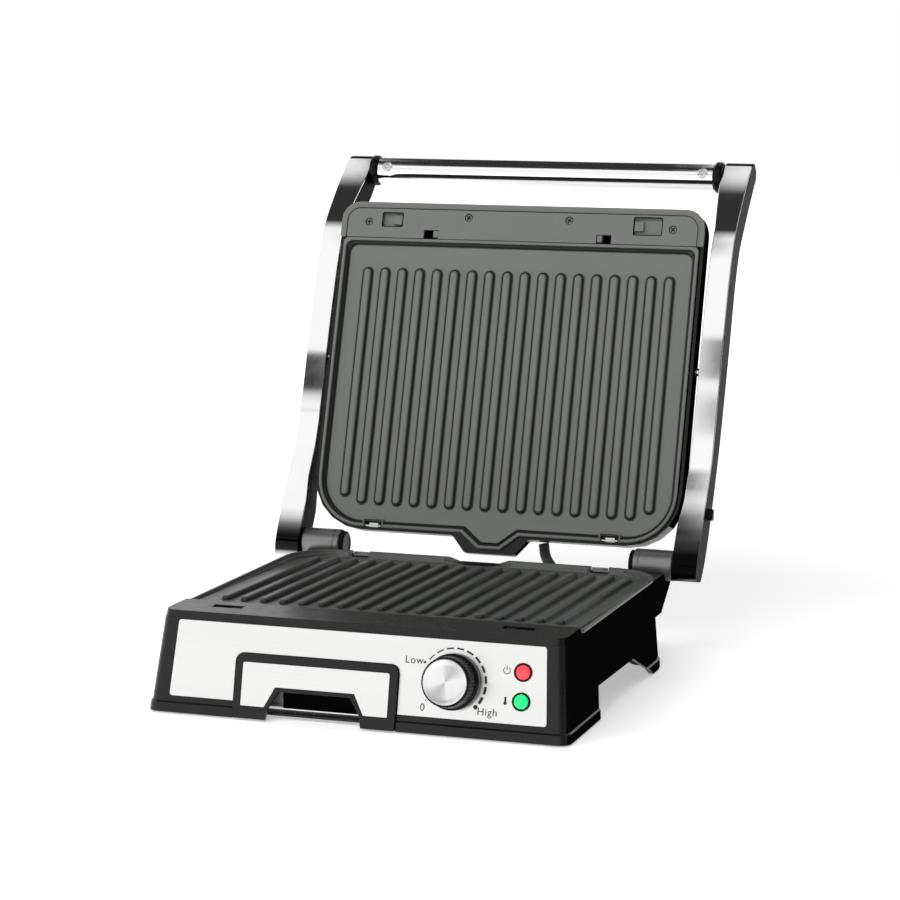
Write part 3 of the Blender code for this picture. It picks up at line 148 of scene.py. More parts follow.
def mesh_object(name, points, faces, material, smooth_angle=35):
    """Mesh from an array of points and a list of faces: doubles merged, faces turned outwards."""
    mesh = bpy.data.meshes.new(name)
    mesh.from_pydata(np.asarray(points, float).reshape(-1, 3).tolist(), [], faces)
    shape = bmesh.new()
    shape.from_mesh(mesh)
    bmesh.ops.remove_doubles(shape, verts=shape.verts, dist=2e-6)
    bmesh.ops.recalc_face_normals(shape, faces=shape.faces)
    shape.to_mesh(mesh)
    shape.free()
    mesh.materials.append(material)
    mesh.shade_smooth()
    mesh.set_sharp_from_angle(angle=math.radians(smooth_angle))
    made = bpy.data.objects.new(name, mesh)
    bpy.context.scene.collection.objects.link(made)
    return made


def grid_faces(rows, columns, first=0):
    """Quads between neighbouring closed rings of points, counted from a first point."""
    row = np.arange(rows - 1)[:, None]
    column = np.arange(columns)[None, :]
    after = (column + 1) % columns
    quads = np.stack(
        np.broadcast_arrays(
            row * columns + column, row * columns + after,
            (row + 1) * columns + after, (row + 1) * columns + column,
        ), -1
    )
    return (quads.reshape(-1, 4) + first).tolist()


floor_material, tree, shader = new_material("pale_floor")
place = node(tree, "ShaderNodeTexCoord")
cloud = node(tree, "ShaderNodeTexNoise", {"Scale": 3.0, "Detail": 3.0})
tone = tones(tree, (0.88, 0.88, 0.88), (0.92, 0.92, 0.92))
tree.links.new(place.outputs["Object"], cloud.inputs["Vector"])
tree.links.new(cloud.outputs["Fac"], tone.inputs[0])
tree.links.new(tone.outputs[2], shader.inputs["Base Color"])
shader.inputs["Roughness"].default_value = 0.9
shader.inputs["Specular IOR Level"].default_value = 0.1
reach = node(tree, "ShaderNodeVectorMath", operation="LENGTH")
glow = node(tree, "ShaderNodeMapRange", {"From Min": 0.5, "From Max": 2.4, "To Min": 0.44, "To Max": 1.0})
tree.links.new(place.outputs["Object"], reach.inputs[0])
tree.links.new(reach.outputs["Value"], glow.inputs["Value"])
tree.links.new(glow.outputs["Result"], shader.inputs["Emission Color"])
shader.inputs["Emission Strength"].default_value = 1.0

# radius times the turning direction, rings growing outwards by a square
spread = np.linspace(0.02, 1, FLOOR_RINGS)[:, None] ** 2 * FLOOR_RADIUS
turn = np.linspace(0, 2 * np.pi, FLOOR_SPOKES, endpoint=False)[None, :]
disc = np.stack(
    [spread * np.cos(turn), spread * np.sin(turn), np.zeros((FLOOR_RINGS, FLOOR_SPOKES))], -1
)
floor_faces = grid_faces(FLOOR_RINGS, FLOOR_SPOKES) + [list(range(FLOOR_SPOKES))]
floor = mesh_object("floor", disc, floor_faces, floor_material)
if floor.data.polygons[0].normal.z < 0:
    floor.data.flip_normals()
floor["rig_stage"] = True

world = bpy.data.worlds.new("studio")
bpy.context.scene.world = world
world.use_nodes = True
sky = world.node_tree
direction = node(sky, "ShaderNodeTexCoord")
split = node(sky, "ShaderNodeSeparateXYZ")


def sky_math(operation, first, second, third=None):
    """A sum on the sky's values; numbers are set and sockets linked."""
    made = node(sky, "ShaderNodeMath", operation=operation)
    for place, value in enumerate((first, second, third)):
        if isinstance(value, (int, float)):
            made.inputs[place].default_value = value
        elif value is not None:
            sky.links.new(value, made.inputs[place])
    return made.outputs[0]


def band_ramp(bands, share):
    """Brightness of a studio ceiling by the turn overhead."""
    ramp = node(sky, "ShaderNodeValToRGB")
    for degrees, bright in bands:
        if degrees in (0, 180):
            stop = ramp.color_ramp.elements[0 if degrees == 0 else -1]
        else:
            stop = ramp.color_ramp.elements.new(degrees / 180)
        stop.color = (bright, bright, bright, 1)
    sky.links.new(share, ramp.inputs[0])
    return ramp.outputs["Color"]


def step_up(value, low, high):
    """Nothing below low, one above high, and an even climb between them."""
    made = node(sky, "ShaderNodeMapRange", {"From Min": low, "From Max": high})
    sky.links.new(value, made.inputs["Value"])
    return made.outputs["Result"]


sky.links.new(direction.outputs["Generated"], split.inputs[0])
side_share, up_share = split.outputs["X"], split.outputs["Z"]
turned = sky_math("ARCTAN2", up_share, sky_math("MULTIPLY", split.outputs["Y"], -1.0))
# the wall lights hang a little askew
turned = sky_math("SUBTRACT", turned, sky_math("MULTIPLY_ADD", side_share, WALL_TILT, WALL_TURN))
overhead = sky_math("DIVIDE", turned, math.pi)
over_tube = sky_math(
    "MULTIPLY", step_up(side_share, *TUBE_FROM),
    sky_math("SUBTRACT", 1.0, step_up(side_share, *TUBE_TO)),
)
ceiling = node(sky, "ShaderNodeMix", data_type="RGBA")
sky.links.new(over_tube, ceiling.inputs[0])
sky.links.new(band_ramp(ARM_BANDS, overhead), ceiling.inputs[6])
sky.links.new(band_ramp(TUBE_BANDS, overhead), ceiling.inputs[7])
flag = node(sky, "ShaderNodeMapRange", {
    "From Min": FLAG_FROM, "From Max": FLAG_TO, "To Min": 1.0, "To Max": 0.10,
})
flagged = node(sky, "ShaderNodeVectorMath", operation="SCALE")
sky.links.new(side_share, flag.inputs["Value"])
sky.links.new(ceiling.outputs[2], flagged.inputs[0])
sky.links.new(flag.outputs["Result"], flagged.inputs["Scale"])
sky.links.new(flagged.outputs[0], sky.nodes["Background"].inputs["Color"])
sky.nodes["Background"].inputs["Strength"].default_value = 1.0

key = bpy.data.lights.new("key_panel", "AREA")
key.shape = "RECTANGLE"
key.size = 2.4
key.size_y = 1.2
key.energy = 42
key_object = bpy.data.objects.new("key_panel", key)
bpy.context.scene.collection.objects.link(key_object)
key_object.location = (-0.6, -2.0, 2.3)
key_object.visible_glossy = False
key_aim = Vector((0, 0, 0.15)) - key_object.location
key_object.rotation_euler = key_aim.to_track_quat("-Z", "Y").to_euler()

camera_data = bpy.data.cameras.new("camera")
camera_data.lens = CAMERA_LENS
camera_data.sensor_width = 36
camera = bpy.data.objects.new("camera", camera_data)
bpy.context.scene.collection.objects.link(camera)
ahead = Vector((
    math.sin(CAMERA_YAW) * math.cos(CAMERA_PITCH),
    math.cos(CAMERA_YAW) * math.cos(CAMERA_PITCH),
    math.sin(CAMERA_PITCH),
))
level = Vector((math.cos(CAMERA_YAW), -math.sin(CAMERA_YAW), 0))
upright = level.cross(ahead)
across = math.cos(CAMERA_ROLL) * level + math.sin(CAMERA_ROLL) * upright
above = -math.sin(CAMERA_ROLL) * level + math.cos(CAMERA_ROLL) * upright
camera_turn = Matrix((across, above, -ahead)).transposed().to_4x4()
camera.matrix_world = Matrix.Translation(CAMERA_PLACE) @ camera_turn
bpy.context.scene.camera = camera
bpy.context.scene.view_settings.view_transform = "Standard"

# ------------------------------------------------------------------ base shell
# Black glass-filled polyester, injection moulded in one piece: leaning front,
# deck border, arched sides and a flared foot band. The mould surface is satin,
# with a fine spark-eroded grain and a little colour drift.
SHELL_EDGE = 0.0007


def socket(tree, name, direction, kind="NodeSocketFloat", value=None):
    """A named input or output of a node group."""
    made = tree.interface.new_socket(name, in_out=direction, socket_type=kind)
    if value is not None:
        made.default_value = value


def mottle_group():
    """Tone and roughness drift between two values by coarse noise, over a fine grain height."""
    tree = bpy.data.node_groups.new("mottle", "ShaderNodeTree")
    socket(tree, "Light tone", "INPUT", "NodeSocketColor")
    socket(tree, "Dark tone", "INPUT", "NodeSocketColor")
    socket(tree, "Smooth", "INPUT", value=0.3)
    socket(tree, "Rough", "INPUT", value=0.5)
    socket(tree, "Drift scale", "INPUT", value=20.0)
    socket(tree, "Grain scale", "INPUT", value=1500.0)
    socket(tree, "Tone", "OUTPUT", "NodeSocketColor")
    socket(tree, "Roughness", "OUTPUT")
    socket(tree, "Height", "OUTPUT")
    into = tree.nodes.new("NodeGroupInput")
    out = tree.nodes.new("NodeGroupOutput")
    place = node(tree, "ShaderNodeTexCoord")
    drift = node(tree, "ShaderNodeTexNoise", {"Detail": 5.0, "Roughness": 0.6})
    grain = node(tree, "ShaderNodeTexNoise", {"Detail": 2.0, "Roughness": 0.5})
    scuff = node(tree, "ShaderNodeTexNoise", {"Detail": 6.0, "Roughness": 0.7, "Distortion": 1.2})
    thrice = node(tree, "ShaderNodeMath", {1: 3.7}, operation="MULTIPLY")
    tone = node(tree, "ShaderNodeMix", data_type="RGBA")
    gloss = node(tree, "ShaderNodeMapRange", {"From Min": 0.3, "From Max": 0.7})
    link = tree.links.new
    for texture in (drift, grain, scuff):
        link(place.outputs["Object"], texture.inputs["Vector"])
    link(into.outputs["Drift scale"], drift.inputs["Scale"])
    link(into.outputs["Grain scale"], grain.inputs["Scale"])
    link(into.outputs["Drift scale"], thrice.inputs[0])
    link(thrice.outputs[0], scuff.inputs["Scale"])
    link(drift.outputs["Fac"], tone.inputs[0])
    link(into.outputs["Light tone"], tone.inputs[6])
    link(into.outputs["Dark tone"], tone.inputs[7])
    link(scuff.outputs["Fac"], gloss.inputs["Value"])
    link(into.outputs["Smooth"], gloss.inputs["To Min"])
    link(into.outputs["Rough"], gloss.inputs["To Max"])
    link(tone.outputs[2], out.inputs["Tone"])
    link(gloss.outputs["Result"], out.inputs["Roughness"])
    link(grain.outputs["Fac"], out.inputs["Height"])
    return tree


MOTTLE = mottle_group()


def mottle_node(tree, light, dark, smooth, rough, drift, grain):
    """The mottle effect placed in a material with its own values."""
    made = node(tree, "ShaderNodeGroup", node_tree=MOTTLE)
    for key, value in (
        ("Light tone", (*light, 1)), ("Dark tone", (*dark, 1)), ("Smooth", smooth),
        ("Rough", rough), ("Drift scale", drift), ("Grain scale", grain),
    ):
        made.inputs[key].default_value = value
    return made


def surface(tree, shader, colour, roughness, height, strength, depth):
    """Link a colour, a roughness and a relief of a given strength and depth to the shader."""
    bump = node(tree, "ShaderNodeBump", {"Strength": strength, "Distance": depth})
    tree.links.new(colour, shader.inputs["Base Color"])
    tree.links.new(roughness, shader.inputs["Roughness"])
    tree.links.new(height, bump.inputs["Height"])
    tree.links.new(bump.outputs["Normal"], shader.inputs["Normal"])


def mottled(name, light, dark, smooth, rough, drift, grain, depth, metallic=0.0, specular=0.5):
    """Material whose tone and gloss drift, over a grain of a given scale and depth in metres."""
    made, tree, shader = new_material(name)
    effect = mottle_node(tree, light, dark, smooth, rough, drift, grain)
    tone, gloss, relief = effect.outputs["Tone"], effect.outputs["Roughness"], effect.outputs["Height"]
    surface(tree, shader, tone, gloss, relief, 0.6, depth)
    shader.inputs["Metallic"].default_value = metallic
    shader.inputs["Specular IOR Level"].default_value = specular
    return made


def dressed(name, source, material, edge, segments=3, flanks=None):
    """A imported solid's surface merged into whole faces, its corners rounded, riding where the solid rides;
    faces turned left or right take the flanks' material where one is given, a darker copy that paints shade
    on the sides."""
    original = frame["nodes"][source]
    shape = bmesh.new()
    shape.from_mesh(original.data)
    bmesh.ops.remove_doubles(shape, verts=shape.verts, dist=3e-6)
    bmesh.ops.dissolve_limit(
        shape, angle_limit=math.radians(1.0), verts=shape.verts, edges=shape.edges
    )
    mesh = bpy.data.meshes.new(name)
    shape.to_mesh(mesh)
    shape.free()
    mesh.materials.clear()
    mesh.materials.append(material)
    if flanks is not None:
        mesh.materials.append(flanks)
    for polygon in mesh.polygons:
        polygon.material_index = int(flanks is not None and abs(polygon.normal.x) > 0.75)
    mesh.shade_smooth()
    made = bpy.data.objects.new(name, mesh)
    bpy.context.scene.collection.objects.link(made)
    if edge:
        bevel = made.modifiers.new("rounded_edges", "BEVEL")
        bevel.width = edge
        bevel.segments = segments
        bevel.limit_method = "ANGLE"
        bevel.angle_limit = math.radians(32)
        bevel.use_clamp_overlap = True
        bevel.miter_outer = "MITER_ARC"
        bevel.harden_normals = True
    weighted = made.modifiers.new("flat_shading", "WEIGHTED_NORMAL")
    weighted.keep_sharp = True
    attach(made, original["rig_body"])
    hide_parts(source)
    return made


shell_black = mottled(
    "satin_black_moulding", (0.0075, 0.0078, 0.0075), (0.0045, 0.0048, 0.0045),
    0.24, 0.34, 14.0, 1400.0, 0.00001, specular=0.36,
)
# painted shade: a darker, unglossy copy of the black moulding, put on faces turned left or right and in
# recesses and grooves
painted_shade_black = mottled(
    "painted_shade_black_moulding", (0.0042, 0.0043, 0.0042), (0.0030, 0.0031, 0.0030),
    0.42, 0.52, 14.0, 1400.0, 0.00002, specular=0.0,
)
dressed("base_moulding", "base_shell", shell_black, SHELL_EDGE, flanks=painted_shade_black)
dressed("base_underside", "base_bottom_cover", shell_black, 0.0)
dressed("tray_runner", "tray_guide", shell_black, 0.0003)

# ------------------------------------------------------------------ foot pads
# Four soft rubber pads, pushed into the posts at the base's corners.
pad_rubber = mottled(
    "foot_rubber", (0.022, 0.022, 0.022), (0.012, 0.012, 0.012), 0.75, 0.92, 90.0, 2500.0, 0.00005
)
def capped_faces(rows, columns, first=0):
    """Quads between rings of points, and one flat face on the first ring and one on the last."""
    last = first + (rows - 1) * columns
    caps = [list(range(first, first + columns)), list(range(last, last + columns))]
    return grid_faces(rows, columns, first) + caps


def ring_body(name, rings, material, smooth_angle=35):
    """Closed body through rings of equally many points, with a flat face on the first and the last."""
    rings = np.asarray(rings, float)
    return mesh_object(name, rings, capped_faces(*rings.shape[:2]), material, smooth_angle)


for corner in ("front_left", "front_right", "rear_left", "rear_right"):
    low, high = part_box("foot_pad_" + corner)
    middle = (low + high) / 2
    pad_r = (high.x - low.x) / 2
    profile = np.array([
        (0.0, 0.15), (0.0, 0.55), (0.0, 0.85), (0.04, 0.96), (0.2, 1.0),
        (0.85, 1.0), (1.0, 0.97),
    ])
    turn = np.linspace(0, 2 * np.pi, 40, endpoint=False)
    # height share and radius share, carried round the pad's upright axis
    rings = np.stack([
        middle.x + pad_r * profile[:, 1, None] * np.cos(turn),
        middle.y + pad_r * profile[:, 1, None] * np.sin(turn),
        np.broadcast_to((low.z + (high.z - low.z) * profile[:, 0])[:, None], (len(profile), 40)),
    ], -1)
    pad = ring_body("pad_" + corner, rings, pad_rubber)
    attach(pad, "base")
    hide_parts("foot_pad_" + corner)

# ------------------------------------------------------------------ heaters and reflectors
# Folded aluminium pans behind both plates, each holding a hairpin sheathed
# heater, and the thermostat on the back of the panel.
pan_aluminium = mottled(
    "mill_aluminium", (0.78, 0.78, 0.79), (0.62, 0.62, 0.63), 0.28, 0.45, 30.0, 900.0, 0.00002,
    metallic=1.0,
)
heater_oxide = mottled(
    "heater_oxide", (0.20, 0.18, 0.17), (0.10, 0.085, 0.08), 0.45, 0.7, 120.0, 3000.0, 0.00003,
    metallic=0.8,
)
for source in ("lower_reflector", "upper_reflector", "thermostat_body"):
    dressed(source + "_sheet", source, pan_aluminium, 0.0)
for source in ("lower_heating_element", "upper_heating_element"):
    dressed(source + "_rod", source, heater_oxide, 0.0)

# ------------------------------------------------------------------ front panel
# Stainless sheet, brushed along the width, let into the leaning front. Marks
# for the thermostat are printed on it in dark grey ink.
PANEL_LEAN = math.radians(11.64)
FRONT_FOOT_Y = -0.2302
INK_PROUD = 0.00006
KNOB_X = 0.0714
KNOB_S = 0.0385
DIAL_R = 0.0232                 # middle of the printed dashes round the knob


def on_front(points):
    """Points given as x, height up the leaning front and distance out of it, put in the row frame."""
    points = np.asarray(points, float)
    x, s, n = points[..., 0], points[..., 1], points[..., 2]
    return np.stack([
        x,
        FRONT_FOOT_Y + s * math.sin(PANEL_LEAN) - n * math.cos(PANEL_LEAN),
        s * math.cos(PANEL_LEAN) + n * math.sin(PANEL_LEAN),
    ], -1)


def brushed_group():
    """Long thin scratches: noise squeezed across the grain, at two scales, plus a broad haze."""
    tree = bpy.data.node_groups.new("brushed_grain", "ShaderNodeTree")
    socket(tree, "Along", "INPUT", value=6.0)
    socket(tree, "Across", "INPUT", value=900.0)
    socket(tree, "Scratch", "OUTPUT")
    socket(tree, "Haze", "OUTPUT")
    into = tree.nodes.new("NodeGroupInput")
    out = tree.nodes.new("NodeGroupOutput")
    place = node(tree, "ShaderNodeTexCoord")
    squeeze = node(tree, "ShaderNodeCombineXYZ")
    stretched = node(tree, "ShaderNodeVectorMath", operation="MULTIPLY")
    fine = node(tree, "ShaderNodeTexNoise", {"Scale": 1.0, "Detail": 4.0, "Roughness": 0.65})
    haze = node(tree, "ShaderNodeTexNoise", {"Scale": 16.0, "Detail": 3.0})
    link = tree.links.new
    link(into.outputs["Along"], squeeze.inputs["X"])
    link(into.outputs["Across"], squeeze.inputs["Y"])
    link(into.outputs["Across"], squeeze.inputs["Z"])
    link(place.outputs["Object"], stretched.inputs[0])
    link(squeeze.outputs[0], stretched.inputs[1])
    link(stretched.outputs[0], fine.inputs["Vector"])
    link(place.outputs["Object"], haze.inputs["Vector"])
    link(fine.outputs["Fac"], out.inputs["Scratch"])
    link(haze.outputs["Fac"], out.inputs["Haze"])
    return tree


BRUSHED = brushed_group()


def brushed_metal(name, light, dark, smooth, rough, along, across, depth):
    """Metal with a straight grain: tone and gloss follow the scratches, with a haze over them."""
    made, tree, shader = new_material(name)
    grain = node(tree, "ShaderNodeGroup", node_tree=BRUSHED)
    grain.inputs["Along"].default_value = along
    grain.inputs["Across"].default_value = across
    tone = tones(tree, dark, light)
    gloss = node(tree, "ShaderNodeMapRange", {
        "From Min": 0.25, "From Max": 0.75, "To Min": smooth, "To Max": rough,
    })
    both = node(tree, "ShaderNodeMix", data_type="FLOAT")
    both.inputs[0].default_value = 0.4
    link = tree.links.new
    link(grain.outputs["Scratch"], both.inputs[2])
    link(grain.outputs["Haze"], both.inputs[3])
    link(both.outputs[0], tone.inputs[0])
    link(both.outputs[0], gloss.inputs["Value"])
    surface(tree, shader, tone.outputs[2], gloss.outputs["Result"], grain.outputs["Scratch"], 0.35, depth)
    shader.inputs["Metallic"].default_value = 1.0
    shader.inputs["Anisotropic"].default_value = 0.5
    return made


panel_steel = brushed_metal(
    "brushed_panel_steel", (0.97, 0.97, 0.96), (0.86, 0.86, 0.85), 0.26, 0.42, 5.0, 1600.0, 0.00001
)
dressed("panel_sheet", "front_panel", panel_steel, 0.0002, segments=2)
dressed("tray_front_sheet", "tray_face", panel_steel, 0.0002, segments=2)

panel_ink = mottled(
    "dial_ink", (0.012, 0.012, 0.013), (0.007, 0.007, 0.008), 0.5, 0.65, 300.0, 4000.0, 0.00001
)


def slab(name, outline, low, high, material, place):
    """Flat closed shape of a small thickness: its outline at two distances out of the surface."""
    outline = np.asarray(outline, float)
    rings = [np.column_stack([outline, np.full(len(outline), n)]) for n in (low, high)]
    return ring_body(name, place(np.array(rings)), material)


def ride_print(piece):
    """A print rides on the base."""
    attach(piece, "base")


def printed(name, outline):
    """A mark of ink on the front, a hair proud of it."""
    ride_print(slab(name, outline, 0.0, INK_PROUD, panel_ink, on_front))


def arc_band(r_in, r_out, start, end, steps=10):
    """Outline of a ring segment: the outer arc, then the inner arc back."""
    turn = np.linspace(start, end, steps)
    outer = np.stack([np.cos(turn), np.sin(turn)], -1) * r_out
    inner = np.stack([np.cos(turn[::-1]), np.sin(turn[::-1])], -1) * r_in
    return np.concatenate([outer, inner])


def oblong(x_low, x_high, y_low, y_high):
    """Outline of an oblong by its four corners."""
    return np.array([(x_low, y_low), (x_high, y_low), (x_high, y_high), (x_low, y_high)])


dial_middle = np.array([KNOB_X, KNOB_S])
# ten dashes round the dial, each wider than the last
DASHES = 10
DASH_FROM = math.radians(146)
DASH_TO = math.radians(-38)
DASH_HALF = math.radians(6.4)
DASH_THIN = 0.0007
DASH_GROWS = 0.0013
for number in range(DASHES):
    share = (number + 0.5) / DASHES
    centre = DASH_FROM + (DASH_TO - DASH_FROM) * share
    half_thick = (DASH_THIN + DASH_GROWS * share) / 2
    dash = arc_band(DIAL_R - half_thick, DIAL_R + half_thick, centre - DASH_HALF, centre + DASH_HALF)
    printed(f"dial_dash_{number + 1}", dash + dial_middle)

turn = np.linspace(0, 2 * np.pi, 24, endpoint=False)
round_mark = np.stack([np.cos(turn), np.sin(turn)], -1)
for name, x, s, r in (("dial_low_dot", 0.0496, 0.0506, 0.0009), ("dial_high_dot", 0.0882, 0.0225, 0.0016)):
    printed(name, round_mark * r + (x, s))
TICK_TURN = 0.9
tick = oblong(-0.0009, 0.0009, -0.0002, 0.0002) @ np.array([
    (math.cos(TICK_TURN), math.sin(TICK_TURN)), (-math.sin(TICK_TURN), math.cos(TICK_TURN)),
])
printed("dial_zero_tick", tick + (0.0522, 0.0246))


def lettering(name, body, size, x, s):
    """Printed word as a thin solid, its middle at a place on the front."""
    text = bpy.data.curves.new(name, "FONT")
    text.body = body
    text.size = size
    text.align_x = "CENTER"
    text.align_y = "CENTER"
    text.extrude = INK_PROUD / 2
    text.space_character = 1.08
    holder = bpy.data.objects.new(name + "_text", text)
    bpy.context.scene.collection.objects.link(holder)
    bpy.context.view_layer.update()
    made_mesh = bpy.data.meshes.new_from_object(
        holder.evaluated_get(bpy.context.evaluated_depsgraph_get())
    )
    bpy.data.objects.remove(holder, do_unlink=True)
    count = len(made_mesh.vertices)
    flat = np.zeros(count * 3)
    made_mesh.vertices.foreach_get("co", flat)
    flat = flat.reshape(-1, 3) + (x, s, INK_PROUD / 2)
    made_mesh.vertices.foreach_set("co", on_front(flat).ravel())
    made_mesh.materials.clear()
    made_mesh.materials.append(panel_ink)
    made = bpy.data.objects.new(name, made_mesh)
    bpy.context.scene.collection.objects.link(made)
    ride_print(made)


lettering("word_low", "Low", 0.0074, 0.0418, 0.0514)
lettering("word_high", "High", 0.0074, 0.0968, 0.0196)
lettering("figure_zero", "0", 0.0072, 0.0500, 0.0193)

# power sign: an open ring with a stroke in its gap; heat sign: a bulb with a stem
ICON_X = 0.1090
POWER_S = 0.0494
HEAT_S = 0.0288
BULB_R = 0.0012
ring_shape = arc_band(0.00215, 0.00265, math.radians(125), math.radians(415), 30)
printed("sign_power_ring", ring_shape + (ICON_X, POWER_S))
stroke = oblong(-0.00028, 0.00028, 0.0, 0.0031)
printed("sign_power_stroke", stroke + (ICON_X, POWER_S))
turn = np.linspace(math.radians(-145), math.radians(145), 18)
bulb = np.stack([BULB_R * np.sin(turn), -0.0018 - BULB_R * np.cos(turn)], -1)
stem = np.array([(0.0007, 0.0020), (0.0004, 0.0026), (-0.0004, 0.0026), (-0.0007, 0.0020)])
printed("sign_heat", np.concatenate([bulb, stem]) + (ICON_X + 0.0002, HEAT_S))

# ------------------------------------------------------------------ drip tray
# A black moulded front with a steel face and a finger recess, clipped to a
# pressed aluminium pan that slides in a runner under the base.
dressed("tray_front_frame", "tray_front", shell_black, 0.0006)
dressed("tray_pan_pressing", "tray_pan", pan_aluminium, 0.0004)
RECESS_Y = (-0.2104, -0.2092)
RECESS_Z = (0.0058, 0.0215)
RECESS_HALF = 0.0300
low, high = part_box("tray_front")
recess_x = (low.x + high.x) / 2
# upright wall behind the finger recess, as wide as its mouth, in the darker black that paints the recess's
# shade: x and z swap into x, y, z
recess_wall = slab(
    "tray_recess_wall", oblong(recess_x - RECESS_HALF, recess_x + RECESS_HALF, *RECESS_Z), *RECESS_Y,
    painted_shade_black, lambda p: p[..., [0, 2, 1]],
)
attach(recess_wall, "tray")

# ------------------------------------------------------------------ knob
# Black moulded skirt with a fluted grip round a spun aluminium cap, turned on
# a flatted steel shaft.
FLUTES = 44
KNOB_SEGMENTS = FLUTES * 6
CAP_R = 0.0158
CAP_SEGMENTS = 96


def turned_on_front(x, s, heights, radii, segments, flute=None):
    """Rings round an axis that stands on the leaning front: radius times the turning direction at each
    height, the radius lessened by a cosine of the flute count where flute is above zero."""
    turn = np.linspace(0, 2 * np.pi, segments, endpoint=False)[None, :]
    heights = np.asarray(heights, float)[:, None]
    radii = np.asarray(radii, float)[:, None]
    if flute is not None:
        valley = 0.5 - 0.5 * np.cos(FLUTES * turn)
        radii = radii - np.asarray(flute, float)[:, None] * valley ** 2
    return on_front(np.stack([
        x + radii * np.cos(turn), s + radii * np.sin(turn), heights + 0 * turn,
    ], -1))


knob_black = mottled(
    "knob_black", (0.006, 0.006, 0.006), (0.004, 0.004, 0.004), 0.24, 0.34, 40.0, 2600.0, 0.000005,
    specular=0.14,
)
knob_profile = np.array([       # height, radius, flute depth
    (0.0009, 0.0186, 0.0), (0.0009, 0.0192, 0.0), (0.0014, 0.0196, 0.0), (0.0046, 0.0196, 0.0),
    (0.0058, 0.0194, 0.0), (0.0063, 0.0189, 0.0), (0.0064, 0.0183, 0.0), (0.0068, 0.0181, 0.0002),
    (0.0080, 0.0181, 0.0004), (0.0170, 0.0175, 0.0004), (0.0190, 0.0173, 0.0003),
    (0.0197, 0.0170, 0.0001), (0.0200, 0.0166, 0.0), (0.0200, 0.0161, 0.0), (0.0191, 0.01605, 0.0),
])
rings = turned_on_front(
    KNOB_X, KNOB_S, knob_profile[:, 0], knob_profile[:, 1], KNOB_SEGMENTS, knob_profile[:, 2]
)
knob = ring_body("knob_grip", rings, knob_black, 50)
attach(knob, "knob")
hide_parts("knob_body")

cap_metal, tree, shader = new_material("spun_aluminium")
place = node(tree, "ShaderNodeUVMap", uv_map="round")
split = node(tree, "ShaderNodeSeparateXYZ")
tracks = node(tree, "ShaderNodeCombineXYZ", {"X": 0.0, "Z": 0.0})
narrow = node(tree, "ShaderNodeMath", {1: 260.0}, operation="MULTIPLY")
turning = node(tree, "ShaderNodeTexNoise", {"Scale": 1.0, "Detail": 3.0, "Roughness": 0.7})
tone = tones(tree, (0.84, 0.84, 0.84), (0.98, 0.98, 0.98))
gloss = node(tree, "ShaderNodeMapRange", {"From Min": 0.3, "From Max": 0.7, "To Min": 0.24, "To Max": 0.36})
grain_way = node(tree, "ShaderNodeTangent", direction_type="UV_MAP", uv_map="round")
link = tree.links.new
link(place.outputs[0], split.inputs[0])
link(split.outputs["Y"], narrow.inputs[0])
link(narrow.outputs[0], tracks.inputs["Y"])
link(tracks.outputs[0], turning.inputs["Vector"])
link(turning.outputs["Fac"], tone.inputs[0])
link(turning.outputs["Fac"], gloss.inputs["Value"])
# painted highlight: lighter and darker sectors, two of each round the face, painted into the tone where the
# turned grain's conic highlights fall
round_turn = node(tree, "ShaderNodeMath", {1: 4 * math.pi, 2: -2.1}, operation="MULTIPLY_ADD")
sector = node(tree, "ShaderNodeMath", operation="COSINE")
painted_sheen_tone = node(tree, "ShaderNodeMapRange", {"To Min": 1.0, "To Max": 0.62})
sheen_painted = node(tree, "ShaderNodeVectorMath", operation="SCALE")
link(split.outputs["X"], round_turn.inputs[0])
link(round_turn.outputs[0], sector.inputs[0])
link(sector.outputs[0], painted_sheen_tone.inputs["Value"])
link(tone.outputs[2], sheen_painted.inputs[0])
link(painted_sheen_tone.outputs["Result"], sheen_painted.inputs["Scale"])
surface(
    tree, shader, sheen_painted.outputs[0], gloss.outputs["Result"], turning.outputs["Fac"], 0.25, 0.00001
)
link(grain_way.outputs[0], shader.inputs["Tangent"])
shader.inputs["Metallic"].default_value = 1.0
shader.inputs["Anisotropic"].default_value = 0.85

cap_profile = np.array([        # height, radius: a shallow dish with a rolled rim
    (0.0192, 0.0154), (0.0192, CAP_R), (0.0203, CAP_R), (0.0206, 0.0156), (0.0207, 0.0152),
    (0.0206, 0.0147), (0.0204, 0.0142), (0.0203, 0.0110), (0.0202, 0.0070), (0.0202, 0.0030),
    (0.0202, 0.0002),
])


def vertex_spots(piece):
    """The places of a piece's vertices, one row each."""
    spots = np.zeros(len(piece.data.vertices) * 3)
    piece.data.vertices.foreach_get("co", spots)
    return spots.reshape(-1, 3)


def corner_vertices(piece):
    """The vertex at each face corner of a piece."""
    numbers = np.zeros(len(piece.data.loops), np.int32)
    piece.data.loops.foreach_get("vertex_index", numbers)
    return numbers


rings = turned_on_front(KNOB_X, KNOB_S, cap_profile[:, 0], cap_profile[:, 1], CAP_SEGMENTS)
cap = ring_body("knob_face", rings, cap_metal, 60)
round_map = cap.data.uv_layers.new(name="round")
spot = vertex_spots(cap)[corner_vertices(cap)]
up_front = np.array([0, math.sin(PANEL_LEAN), math.cos(PANEL_LEAN)])
knob_spot = on_front((KNOB_X, KNOB_S, 0.0))
east = spot[:, 0] - knob_spot[0]
north = (spot - knob_spot) @ up_front
angle = np.arctan2(north, east)
